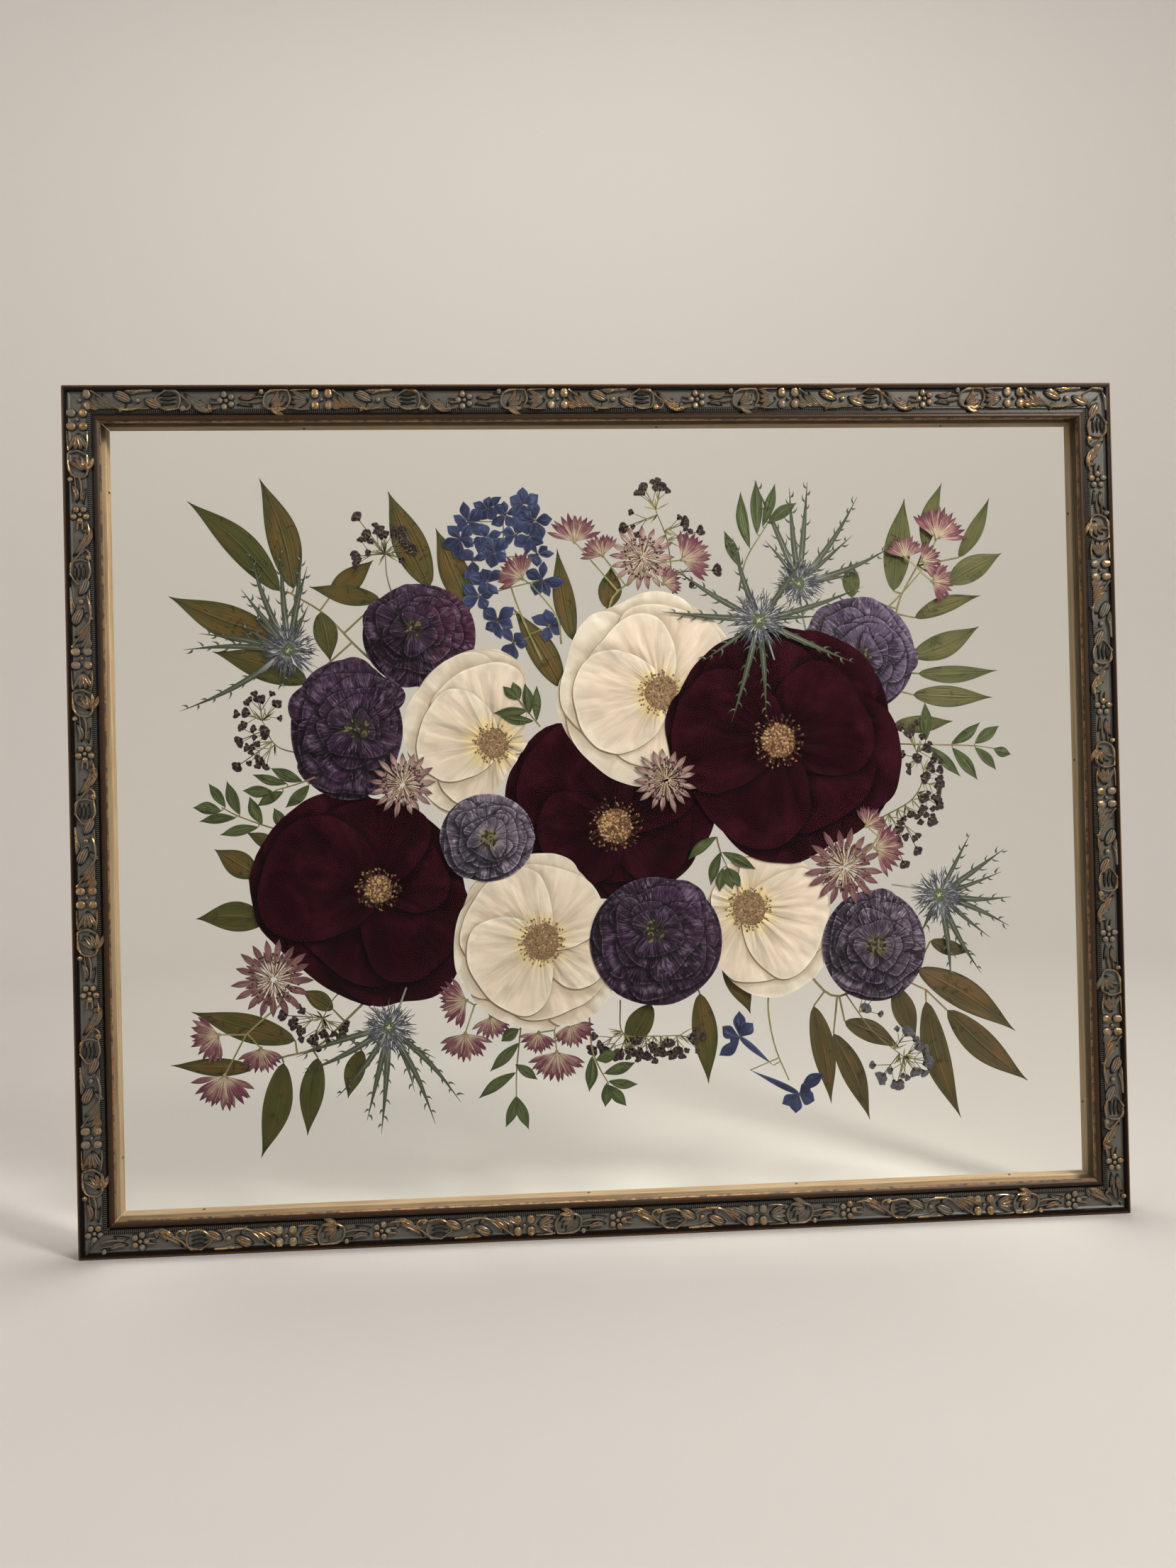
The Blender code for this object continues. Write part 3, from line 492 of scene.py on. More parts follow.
# %% [markdown]
# ## Blanks of four kinds
#
# Every plant part begins as one of four simple closed shapes: a thin round sheet for petals, a
# thin strip for leaves and bracts, a rod for stems, and a grain for pollen and seeds. All but
# the grain are modelled in finer and coarser forms. Each part is then a copy with its own mesh,
# whose points are moved by a short formula, as a hand would bend and trim a paper blank. Petals
# are flat, wavy outlines with hundreds of points, and no edit-mode tool draws those as well as a
# formula does. Most petals lie on others, so their hidden back is one plain face.


# %% Making a blank
class Blank:
    """A closed shape that copies are taken from, with its points as arrays."""

    def __init__(self, name):
        self.thing = bpy.context.object
        self.thing.name = name
        mesh = self.thing.data
        for attribute in ("rim", "tint", "gap"):
            mesh.attributes.new(attribute, "FLOAT", "POINT")
        points = np.empty(len(mesh.vertices) * 3, np.float32)
        mesh.vertices.foreach_get("co", points)
        self.x, self.y, self.z = points.reshape(-1, 3).T.astype(float)
        self.corners = np.empty(len(mesh.loops), np.int32)
        mesh.loops.foreach_get("vertex_index", self.corners)
        self.radius = np.hypot(self.x, self.z)
        self.bearing = np.arctan2(self.x, self.z)
        ring = np.flatnonzero((self.radius > 0.999) & (self.y < 0.5))
        self.ring = ring[np.argsort(self.bearing[ring])]
        print(name, "blank:", len(mesh.polygons), "faces")


def thicken():
    """Turn the active flat sheet into a closed one: y is 0 on its front and 1 on its back."""
    thing = bpy.context.object
    wall = thing.modifiers.new("wall", "SOLIDIFY")
    wall.thickness = 1.0
    wall.offset = -1.0
    bpy.ops.object.modifier_apply(modifier=wall.name)


def close_behind():
    """Close the active flat sheet with one plain face behind: y is 0 in front and 1 there."""
    bpy.ops.object.mode_set(mode="EDIT")
    bpy.ops.mesh.select_all(action="DESELECT")
    bpy.ops.mesh.select_non_manifold()
    bpy.ops.mesh.extrude_region_move(TRANSFORM_OT_translate={"value": (0, 1, 0)})
    bpy.ops.mesh.edge_face_add()
    bpy.ops.mesh.select_all(action="SELECT")
    bpy.ops.mesh.normals_make_consistent(inside=False)
    bpy.ops.object.mode_set(mode="OBJECT")


def round_blank(name, sides, steps, plain_back=True):
    """Make a disc of radius 1 with rings of faces. The steps are the rings' widths."""
    only()
    bpy.ops.mesh.primitive_circle_add(
        vertices=sides, radius=1.0, fill_type="NGON", rotation=(math.pi / 2, 0, 0)
    )
    bpy.ops.object.transform_apply(location=False, rotation=True, scale=False)
    bpy.ops.object.mode_set(mode="EDIT")
    bpy.ops.mesh.select_all(action="SELECT")
    for step in steps:
        bpy.ops.mesh.inset(thickness=step, depth=0.0)
    bpy.ops.mesh.poke()
    bpy.ops.object.mode_set(mode="OBJECT")
    if plain_back:
        close_behind()
    else:
        thicken()
    return Blank(name)


def strip_blank(name, across, along):
    """Make a strip from -1 to 1 in x and z."""
    only()
    bpy.ops.mesh.primitive_grid_add(
        x_subdivisions=across, y_subdivisions=along, size=2.0, rotation=(math.pi / 2, 0, 0)
    )
    bpy.ops.object.transform_apply(location=False, rotation=True, scale=False)
    thicken()
    return Blank(name)


def rod_blank(name, sides, joints):
    """Make a rod of radius 1 from z = 0 to z = 1, cut into joints that can bend."""
    only()
    bpy.ops.mesh.primitive_cylinder_add(
        vertices=sides, radius=1.0, depth=1.0, location=(0, 0, 0.5)
    )
    bpy.ops.object.transform_apply(location=True, rotation=False, scale=False)
    bpy.ops.object.mode_set(mode="EDIT")
    for joint in range(1, joints):
        bpy.ops.mesh.select_all(action="SELECT")
        bpy.ops.mesh.bisect(plane_co=(0, 0, joint / joints), plane_no=(0, 0, 1))
    bpy.ops.object.mode_set(mode="OBJECT")
    return Blank(name)


def grain_blank(name):
    """Make a grain of radius 1."""
    only()
    bpy.ops.mesh.primitive_ico_sphere_add(subdivisions=1, radius=1.0)
    return Blank(name)


FINE_RINGS = (0.012, 0.035, 0.055, 0.075, 0.09, 0.10, 0.11, 0.11, 0.12, 0.12)
RINGS = (0.012, 0.045, 0.09, 0.12, 0.14, 0.16, 0.18)
ROSE_PETAL = round_blank("rose_petal", 64, FINE_RINGS)
ROSE_BACKING = round_blank("rose_backing", 64, FINE_RINGS, plain_back=False)
PETAL = round_blank("petal", 56, RINGS)
BACKING = round_blank("backing", 56, RINGS, plain_back=False)
SMALL_PETAL = round_blank("small_petal", 16, (0.12, 0.3))
LEAF = strip_blank("leaf", 8, 20)
BRACT = strip_blank("bract", 4, 8)
SPINE = strip_blank("spine", 1, 4)
STEM = rod_blank("stem", 6, 14)
TWIG = rod_blank("twig", 4, 3)
GRAIN = grain_blank("grain")


# %% [markdown]
# ## Shaping the copies
#
# `cut` is the one place where a copy is made. It takes the blank, the new places of its points,
# and what the finishes need to know: two numbers that run across and along the part, the
# distance to its free edge, and a tint that differs from part to part. `Bench` gathers
# the parts of one flower and joins them into one piece, which then stands for the flat solid
# of that flower. Each flower keeps to the depth of its own solid, so flowers pass in front of
# each other in the right order.


# %% Cutting and joining
# Distance from an edge that lies on a part, in millimetres, where there is none
UNCOVERED = 30.0
# Shift of the painted shadow under an edge, in millimetres: the light comes from the upper right,
# so an edge darkens more to its lower left
SHADOW_SIDE = (-0.5, -0.6)
# Share of a flower's reach within which its petals aren't trimmed
FREE_SHARE = 0.84
# Edges sharper than this stay sharp
SMOOTH_ANGLE = math.radians(50)
# The waves on a petal's edge begin anywhere in this span, in radians
WAVE_SPAN = 6.28
# Smallest divisor, in place of zero
TINY = 1e-9


def cut(blank, x, y, z, u, v, rim, tint, material):
    """Copy a blank. The places and the rim are arrays in millimetres."""
    mesh = blank.thing.data.copy()
    points = np.stack((x, y, z), axis=1) * MM
    mesh.vertices.foreach_set("co", points.astype(np.float32).ravel())
    laid = np.stack((u, v), axis=1)[blank.corners]
    mesh.uv_layers[0].data.foreach_set("uv", laid.astype(np.float32).ravel())
    count = len(blank.x)
    rims = np.broadcast_to(rim, count).astype(np.float32)
    tints = np.full(count, tint, np.float32)
    mesh.attributes["rim"].data.foreach_set("value", rims)
    mesh.attributes["tint"].data.foreach_set("value", tints)
    mesh.attributes["gap"].data.foreach_set("value", np.full(count, UNCOVERED, np.float32))
    mesh.materials.append(material)
    copy = bpy.data.objects.new(blank.thing.name, mesh)
    bpy.context.collection.objects.link(copy)
    return copy


def heading(start, end):
    """Return the direction from one place to another in degrees, and the distance."""
    across = end[0] - start[0]
    up = end[1] - start[1]
    return math.degrees(math.atan2(up, across)), math.hypot(across, up)


def onward(place, direction, forward, aside=0.0):
    """Return the place that lies forward in a direction, and aside to its right. The direction
    is in degrees, and the two distances may be arrays."""
    angle = math.radians(direction)
    ahead = (math.cos(angle), math.sin(angle))
    right = (ahead[1], -ahead[0])
    return (
        place[0] + ahead[0] * forward + right[0] * aside,
        place[1] + ahead[1] * forward + right[1] * aside,
    )


def gap_to(x, z, ring):
    """Return how far places lie outside a closed outline. Places inside it get less than 0."""
    run = np.roll(ring, -1, axis=0) - ring
    from_x = x[:, None] - ring[:, 0]
    from_z = z[:, None] - ring[:, 1]
    share = (from_x * run[:, 0] + from_z * run[:, 1]) / (run**2).sum(axis=1)
    share = np.clip(share, 0.0, 1.0)
    gap = np.hypot(from_x - share * run[:, 0], from_z - share * run[:, 1]).min(axis=1)
    below = from_z < 0
    above = np.roll(below, -1, axis=1)
    slope = run[:, 0] / np.where(np.abs(run[:, 1]) < TINY, TINY, run[:, 1])
    crossed = (below != above) & (from_x < from_z * slope)
    inside = crossed.sum(axis=1) % 2 == 1
    return np.where(inside, -gap, gap)


def joined(parts, name):
    """Join parts into one named object."""
    only(*parts)
    bpy.ops.object.join()
    piece = bpy.context.object
    piece.name = name
    piece.data.name = name
    return piece


class Bench:
    """The parts of one pressed piece, laid at the depth of its flat solid."""

    def __init__(self, node, seed, back=None):
        self.node = node
        self.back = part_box(node)[1].y / MM if back is None else back
        self.parts = []
        self.sheets = []
        self.rng = random.Random(seed)

    def vary(self, low, high):
        """Return a number between two others, the same in each run."""
        return self.rng.uniform(low, high)

    def depth(self, blank, lift, thickness):
        """Return y for a sheet that lies a lift in front of the layer's back."""
        return self.back - lift - thickness * (1.0 - blank.y)

    def shade(self):
        """Give each petal's points their distance from the edges that lie on it, shifted to the
        lower left. The finishes paint shadow from this distance.
        """
        for copy, blank, lift, x, z in self.sheets:
            gap = np.full(len(x), UNCOVERED)
            front = blank.y < 0.5
            for _, other, other_lift, other_x, other_z in self.sheets:
                if other_lift > lift:
                    ring = np.stack((other_x, other_z), axis=1)[other.ring] + SHADOW_SIDE
                    gap[front] = np.minimum(gap[front], gap_to(x[front], z[front], ring))
            copy.data.attributes["gap"].data.foreach_set("value", gap.astype(np.float32))

    def finish(self, name, slot, replaces=True):
        """Join the parts, and let the piece stand for its solid."""
        piece = joined(self.parts, name)
        bpy.ops.object.shade_smooth_by_angle(angle=SMOOTH_ANGLE)
        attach(piece, "root")
        if replaces:
            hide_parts(self.node)
        faces = len(piece.data.polygons)
        print(f"{name}: {len(self.parts)} parts, {faces} faces")
        return piece


def trimmed(x, z, heart, edge):
    """Return places with those near and past a flower's outline pulled in towards its heart."""
    turns = np.degrees(np.arctan2(z - heart[1], x - heart[0]))
    limit = np.array([edge(turn) for turn in turns])
    share = np.maximum(np.hypot(x - heart[0], z - heart[1]) / limit, 1e-6)
    over = np.maximum(share - FREE_SHARE, 0.0) / (1.0 - FREE_SHARE)
    held = np.minimum(share, FREE_SHARE) + (1.0 - FREE_SHARE) * np.tanh(over)
    return heart[0] + (x - heart[0]) * held / share, heart[1] + (z - heart[1]) * held / share


def lay_petal(bench, material, root, direction, near, far, half, lift, tint=0.5, frill=0.03,
              notch=0.05, thickness=0.02, blank=PETAL, folds=0.05, edge_of_all=None):
    """Lay a round petal. It spans from near to far along its direction from the root, and half
    to each side. Its edge is frilled, with a notch at the tip. It is trimmed where it would
    leave the outline of the whole flower."""
    phase = bench.vary(0, WAVE_SPAN)
    waves = [
        (bench.vary(0.3, 1.0) * frill / (k - 1), k, bench.vary(0, WAVE_SPAN))
        for k in (2, 3, 5, 8, 13)
    ]
    edge = 1.0 - notch * np.exp(-((blank.bearing / 0.22) ** 2))
    for size, count, shift in waves:
        edge = edge + size * np.sin(count * blank.bearing + shift)
    along = blank.radius * edge * np.cos(blank.bearing)
    across = blank.radius * edge * np.sin(blank.bearing) * (1.0 + 0.2 * along)
    length = (far - near) / 2
    forward = near + length * (1.0 + along)
    aside = half * across
    x, z = onward(root, direction, forward, aside)
    if edge_of_all:
        x, z = trimmed(x, z, root, edge_of_all)
    reach = np.hypot(forward, aside)
    angle = np.arctan2(aside, forward)
    swell = np.sin(angle * 5.0 + phase) * np.sin(np.clip(reach / far, 0, 1) * 2.6)
    y = bench.depth(blank, lift, thickness) - folds * swell
    local = np.hypot(half * np.sin(blank.bearing), length * np.cos(blank.bearing))
    rim = (1.0 - blank.radius) * local
    petal = cut(blank, x, y, z, angle + tint * 20.0, reach / 10.0, rim, tint, material)
    bench.parts.append(petal)
    bench.sheets.append((petal, blank, lift, x, z))


def lay_backing(bench, material, heart, edge, lift, tint, blank=BACKING):
    """Lay the sheet of the lowest petals, which reaches to the flower's outline all round."""
    outline = np.array([edge(90.0 - math.degrees(turn)) for turn in blank.bearing])
    reach = outline * blank.radius
    x = heart[0] + reach * np.sin(blank.bearing)
    z = heart[1] + reach * np.cos(blank.bearing)
    y = bench.depth(blank, lift, 0.01)
    rim = (1.0 - blank.radius) * outline
    sheet = cut(blank, x, y, z, blank.bearing + tint * 20.0, reach / 10.0, rim, tint, material)
    bench.parts.append(sheet)
    bench.sheets.append((sheet, blank, lift, x, z))


def lay_leaf(bench, material, base, tip, width, lift, tint=0.5, fullest=0.42, bend=0.0,
             blank=LEAF, thickness=0.05, fold=0.06, wave=0.0):
    """Lay a pointed leaf or bract from its base to its tip. It bends aside by a share of its
    length, folds along its midrib and waves at its edges."""
    direction, length = heading(base, tip)
    share = (blank.z + 1.0) / 2
    power = math.log(0.5) / math.log(fullest)
    swell = np.sin(math.pi * np.clip(share, 0.0, 1.0) ** power) ** (0.8 + 0.55 * share)
    half = width / 2 * swell + 0.08
    aside = blank.x * half + bend * length * np.sin(math.pi * share)
    x, z = onward(base, direction, share * length, aside)
    ripple = wave * np.abs(blank.x) * np.sin(share * 14.0 + tint * 30.0)
    y = bench.depth(blank, lift, thickness) - fold * (1.0 - np.abs(blank.x)) * swell - ripple
    rim = (1.0 - np.abs(blank.x)) * half
    bench.parts.append(cut(blank, x, y, z, (blank.x + 1.0) / 2, share, rim, tint, material))


def smooth_route(route, shares):
    """Return the places at these shares of a smooth curve through a route, and its heading."""
    points = np.array([route[0], *route, route[-1]], float)
    points[0] = 2 * points[1] - points[2]
    points[-1] = 2 * points[-2] - points[-3]
    spans = len(route) - 1
    where = np.clip(shares, 0.0, 1.0) * spans
    first = np.minimum(where.astype(int), spans - 1)
    t = (where - first)[:, None]
    a, b, c, d = (points[first + k] for k in range(4))
    place = 0.5 * (2 * b + (c - a) * t + (2 * a - 5 * b + 4 * c - d) * t**2
                   + (3 * b - a - 3 * c + d) * t**3)
    slope = 0.5 * ((c - a) + 2 * (2 * a - 5 * b + 4 * c - d) * t
                   + 3 * (3 * b - a - 3 * c + d) * t**2)
    slope /= np.maximum(np.linalg.norm(slope, axis=1, keepdims=True), TINY)
    return place, slope


def beside_route(blank, route, half):
    """Return the places of a rod's points along a route, half a width to each side."""
    place, slope = smooth_route(route, blank.z)
    aside = place[:, 0] + slope[:, 1] * blank.x * half
    up = place[:, 1] - slope[:, 0] * blank.x * half
    return aside, up


def lay_stem(bench, material, route, width, lift, tint=0.5, taper=0.6, thickness=0.16,
             blank=STEM):
    """Lay a stem along a route. It narrows to a share of its width at its end."""
    x, z = beside_route(blank, route, width / 2 * (1.0 + (taper - 1.0) * blank.z))
    y = bench.back - lift - thickness / 2 * (1.0 - blank.y)
    bench.parts.append(cut(blank, x, y, z, blank.x, blank.z, 0.5, tint, material))


def lay_grain(bench, material, place, size, lift, tint=0.5, stretch=1.0, direction=0.0, flat=0.35):
    """Lay a grain, stretched along a direction and flattened by the press."""
    x, z = onward(place, direction, GRAIN.z * size * stretch, GRAIN.x * size)
    y = bench.back - lift + GRAIN.y * size * flat
    bench.parts.append(cut(GRAIN, x, y, z, GRAIN.x, GRAIN.z, 0.5, tint, material))


def nearest_on(route, place):
    """Return the place on a smooth stem that is nearest to another place."""
    stations, _ = smooth_route(route, np.linspace(0.0, 1.0, 60))
    gaps = np.hypot(stations[:, 0] - place[0], stations[:, 1] - place[1])
    return tuple(stations[int(gaps.argmin())])


def outline_of(node, heart):
    """Return a function that gives how far a solid reaches from a place in a direction."""
    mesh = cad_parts[node].data
    points = np.array([(v.co.x, v.co.z) for v in mesh.vertices]) / MM - np.array(heart)
    pairs = np.array([edge.vertices[:] for edge in mesh.edges])
    start = points[pairs[:, 0]]
    run = points[pairs[:, 1]] - start
    turns = np.radians(np.arange(0, 361, 5))
    reaches = []
    for turn in turns:
        ahead = np.array((math.cos(turn), math.sin(turn)))
        crossing = run[:, 0] * ahead[1] - run[:, 1] * ahead[0]
        crossing = np.where(np.abs(crossing) < TINY, TINY, crossing)
        share = -(start[:, 0] * ahead[1] - start[:, 1] * ahead[0]) / crossing
        hit = start + run * share[:, None]
        reach = np.where((share >= 0) & (share <= 1), hit @ ahead, 0.0)
        reaches.append(reach.max())
    return lambda degrees: float(np.interp(math.radians(degrees % 360), turns, reaches))


# %% [markdown]
# ## Finishes of petals
#
# A dried petal shows a body colour in soft clouds, fine streaks that run from its base to its
# edge, and a yellow or a dark eye near the heart. Light and shade are painted on it too: painted
# shade in its folds and towards the heart, painted light on the last millimetres of its edge, a
# painted highlight on the edge itself, and the painted shadow of the next petal with a thin dark
# line where that petal's edge lies. The sheets hold the angle and the distance from the heart as
# their own pattern coordinates, so streaks that follow these two run out like real veins.


# %% Petals
def petal_finish(name, body, cloud_and_highlight, deep, outline, heart, heart_reach, *, painted_rim_light, line=0.3,
                 roughness=0.6, specular=0.3, second=None, stain=None, hair=None,
                 painted_fold_shade=0.5):
    """Return a petal's finish. The painted rim light says how much painted light lies on the last
    millimetres inside the edge.
    """
    finish = Finish(name, roughness, specular)
    angle, reach = finish.laid()
    rim = finish.own("rim")
    tint = finish.own("tint")
    gap = finish.own("gap")
    place = finish.place()
    clouds = finish.noise(place, 45.0, detail=2.0, distortion=0.8)
    folds = finish.pattern(angle * 3.4, reach * 0.4, tint * 9.0, detail=1.5)
    streaks = finish.pattern(angle * 22.0, reach * 0.5, tint * 9.0, detail=2.0)
    hairs = finish.pattern(angle * 60.0, reach * 0.5, tint * 9.0, detail=2.0)
    colour = finish.mix(finish.between(clouds, 0.44, 0.68), body, cloud_and_highlight)
    if second:
        fan = finish.between(tint, 0.45, 0.55)
        colour = finish.mix(fan * finish.between(reach, 1.0, 2.2), colour, second)
    # Painted shade in the folds, where their relief is low
    colour = finish.mix(finish.between(folds, 0.50, 0.36) * painted_fold_shade, colour, deep)
    # Painted shade, darker towards the heart
    colour = finish.mix(finish.below(reach, 0.6, 3.2) * 0.6, colour, deep)
    # Painted light on the last millimetres inside each edge
    colour = finish.mix(finish.below(rim, 0.3, 9.0) * painted_rim_light, colour, cloud_and_highlight)
    colour = finish.mix(finish.between(streaks, 0.50, 0.68) * 0.3, colour, cloud_and_highlight)
    if stain:
        stained = finish.between(finish.noise(place, 140.0, detail=5.0), 0.48, 0.64)
        colour = finish.mix(stained * finish.below(rim, 1.0, 9.0) * 0.6, colour, stain)
        fan = finish.below(tint, 0.3, 0.5)
        colour = finish.mix(fan * finish.between(clouds, 0.42, 0.6) * 0.25, colour, stain)
    near = finish.below(reach, heart_reach * 0.03, heart_reach * 0.1)
    colour = finish.mix(near, colour, heart)
    if hair:
        lines = finish.between(hairs, 0.54, 0.60) * finish.below(reach, 0.9, 2.0)
        colour = finish.mix(lines * 0.45, colour, hair)
    # Painted highlight along the very edge, broken by noise
    uneven = finish.noise(place, 60.0, detail=1.0)
    edge_highlight = finish.below(rim, 0.1, 1.6) * finish.between(uneven, 0.36, 0.6)
    colour = finish.mix(edge_highlight * 0.55, colour, cloud_and_highlight)
    # Painted shadow of the petals above, wider to their lower left, and a thin dark line in the
    # outline colour under their edges
    width = 0.5 + finish.between(uneven, 0.38, 0.66)
    shadow = finish.below(gap / width, 0.0, 5.0)
    colour = finish.mix(shadow * 0.75, colour, deep)
    contact_shadow = finish.below(gap / width, line * 0.5, line * 1.6)
    colour = finish.mix(contact_shadow * 0.85, colour, outline)
    finish.colour(colour)
    finish.feed("Roughness", roughness + (streaks - 0.5) * 0.3)
    finish.relief(folds, 2.4)
    return finish.material


# Colours: body, clouds and painted highlight, painted shade, painted contact shadow, heart
RED = petal_finish(
    "red_petals", (0.0135, 0.0008, 0.0029), (0.030, 0.0034, 0.0080), (0.0022, 0.0002, 0.0005),
    (0.0003, 0.0001, 0.0001), (0.004, 0.0003, 0.0008), 12.0, painted_rim_light=0.35, line=0.34,
    specular=0.03, roughness=0.7, painted_fold_shade=0.45,
)
WHITE = petal_finish(
    "white_petals", (0.64, 0.555, 0.45), (0.78, 0.72, 0.62), (0.42, 0.33, 0.235),
    (0.17, 0.115, 0.07), (0.74, 0.57, 0.25), 18.0, painted_rim_light=0.3, line=0.22,
    second=(0.69, 0.57, 0.46), stain=(0.56, 0.49, 0.40), hair=(0.50, 0.36, 0.17),
    roughness=0.65, specular=0.15, painted_fold_shade=0.4,
)

# %% Stamens
TAN = (0.27, 0.17, 0.085)
ROSY_TAN = (0.36, 0.17, 0.085)
BROWN = (0.15, 0.09, 0.045)
ROSY_BROWN = (0.33, 0.215, 0.13)
STRAW = (0.56, 0.38, 0.18)
DARK_RED = (0.045, 0.010, 0.010)
UMBER = (0.11, 0.055, 0.022)


def grain_finish(name, *colours):
    """Return a finish that picks its colour by the grain's own tint."""
    finish = Finish(name, roughness=0.75, specular=0.25)
    tint = finish.own("tint")
    colour = colours[0]
    for number, following in enumerate(colours[1:], 1):
        step = number / len(colours)
        colour = finish.mix(finish.between(tint, step - 0.08, step + 0.08), colour, following)
    speckle = finish.noise(finish.place(), 1500.0, detail=2.0)
    colour = finish.mix(finish.between(speckle, 0.35, 0.7) * 0.4, colour, (0.05, 0.03, 0.015))
    finish.colour(colour)
    finish.relief(speckle, 0.15)
    return finish.material


RED_STAMENS = grain_finish("red_rose_stamens", DARK_RED, UMBER, ROSY_TAN, STRAW)
WHITE_STAMENS = grain_finish("white_rose_stamens", BROWN, TAN, ROSY_BROWN, STRAW)
GOLDEN_TURN = math.pi * (3 - math.sqrt(5))
STAMEN_GRAINS = 230
STAMEN_THREADS = 64
# The ball's share of the stamens' radius
RED_BALL = 0.72
WHITE_BALL = 0.84


def lay_stamens(bench, material, heart, radius, lift, dark):
    """Lay a rose's stamens: a ball of grains, and threads around it with an anther on each."""
    ball = RED_BALL if dark else WHITE_BALL
    lay_petal(bench, material, heart, 0, -radius * ball, radius * ball, radius * ball, lift,
              0.45 if dark else 0.4, frill=0.04, notch=0.0, folds=0.0)
    for number in range(STAMEN_GRAINS):
        share = math.sqrt((number + 0.5) / STAMEN_GRAINS)
        turn = math.degrees(number * GOLDEN_TURN)
        place = onward(heart, turn, radius * ball * share * bench.vary(0.86, 1.1))
        tint = bench.vary(0.2, 0.95) if dark else bench.vary(0.1, 0.8)
        size = bench.vary(0.35, 0.72)
        lay_grain(bench, material, place, size, lift + 0.10 * (1 - share), tint, 1.2, turn)
    for number in range(STAMEN_THREADS):
        turn = number * 360 / STAMEN_THREADS + bench.vary(-5, 5)
        start = onward(heart, turn, radius * bench.vary(0.5, 0.7))
        end = onward(heart, turn + bench.vary(-9, 9), radius * bench.vary(0.85, 1.2))
        shade = bench.vary(0.0, 0.4)
        lay_stem(bench, material, [start, end], 0.24, lift + 0.05, shade, blank=TWIG, thickness=0.1)
        tip = bench.vary(0.1, 0.7) if dark else bench.vary(0.0, 0.6)
        lay_grain(bench, material, end, bench.vary(0.35, 0.62), lift + 0.1, tip, 1.3, turn + 50)


# %% [markdown]
# ## Roses
#
# Each rose was opened flat before it was pressed. Five inner petals overlap like a fan around
# the stamens, and a second row shows between and beyond them. The photograph gives each
# petal's direction, and the flat solid's outline gives how far it reaches. The petals lie a few
# hundredths of a millimetre apart, the first in the list on top.

# %% Roses
PETAL_STEP = 0.026
# Shares of the outline that the lowest sheet fills, and that no petal passes
SHEET_REACH = 0.96
PETAL_REACH = 1.05
# Half of the narrowest and of the widest petal
NARROWEST = 17.0
WIDEST = 31.0
ROSES = {
    # name: (middle of the stamens, their radius, directions of inner and outer petals)
    "rose_red_left": ((-117, 178), 9.5, (170, 100, 30, -45, 238), (135, 62, 5, -75, -115, 205)),
    "rose_red_middle": ((3, 207), 12.0, (200, 130, 65, -8, -80), (165, 95, 30, -45, -118, 232)),
    "rose_red_right": ((88, 248.5), 12.0, (168, 242, 23, -47, 105), (-90, -10, 55, 130, 182, 215)),
    "rose_white_upper_left": ((-57.7, 250), 8.5, (168, 250, 106, 55, -8), (140, 200, 75, 225, 112)),
    "rose_white_top": ((28, 274), 10.0, (190, 138, 78, 258, 25), (160, 112, 225, 50, 205)),
    "rose_white_lower_left": (
        (-35.6, 149), 10.5, (215, 145, 68, -5, -70), (180, 110, 30, -40, -105),
    ),
    "rose_white_lower_right": ((71, 163), 10.0, (-20, -95, 38, 200, 110), (5, -60, -130, 65, 160)),
}


def make_rose(name, seed, heart, radius, inner, outer):
    """Build one rose."""
    red = "red" in name
    material = RED if red else WHITE
    bench = Bench(name, seed)
    edge = outline_of(name, heart)

    def beyond(turn):
        """Return how far the petals may reach."""
        return edge(turn) * PETAL_REACH

    def sheet(turn):
        """Return how far the lowest sheet reaches."""
        return edge(turn) * SHEET_REACH

    lay_backing(bench, material, heart, sheet, 0.004, 0.1, ROSE_BACKING)
    rows = [(direction, bench.vary(0.76, 0.94), 0.64, 0.9) for direction in inner]
    rows += [(direction, 1.03, 0.62, 0.1) for direction in outer]
    for number, (direction, reach, width, tint) in enumerate(rows):
        far = max(edge(direction + turn) for turn in (-10, 0, 10)) * reach * bench.vary(0.98, 1.0)
        half = min(max(far * width, NARROWEST), WIDEST)
        lift = PETAL_STEP * (len(rows) - number)
        shade = tint + bench.vary(-0.08, 0.08)
        lay_petal(bench, material, heart, direction, -3.0, far, half, lift, shade,
                  frill=0.06, notch=0.03, blank=ROSE_PETAL, folds=0.008, edge_of_all=beyond)
    stamens = RED_STAMENS if red else WHITE_STAMENS
    bench.shade()
    lay_stamens(bench, stamens, heart, radius, PETAL_STEP * (len(rows) + 1), red)
    bench.finish(f"{name}_flower", "red_petal" if red else "white_petal")


for seed, (name, rose) in enumerate(ROSES.items()):
    make_rose(name, seed, *rose)

# %% [markdown]
# ## Ranunculus
#
# These are the round, nearly black flowers: a ball of many thin petals that the press folded
# into rings. They dry in fine, tangled creases, with closer pleats near the rim. The petals are
# laid in a spiral from the outside in, shorter and shorter, and grains make a crumpled pistil.


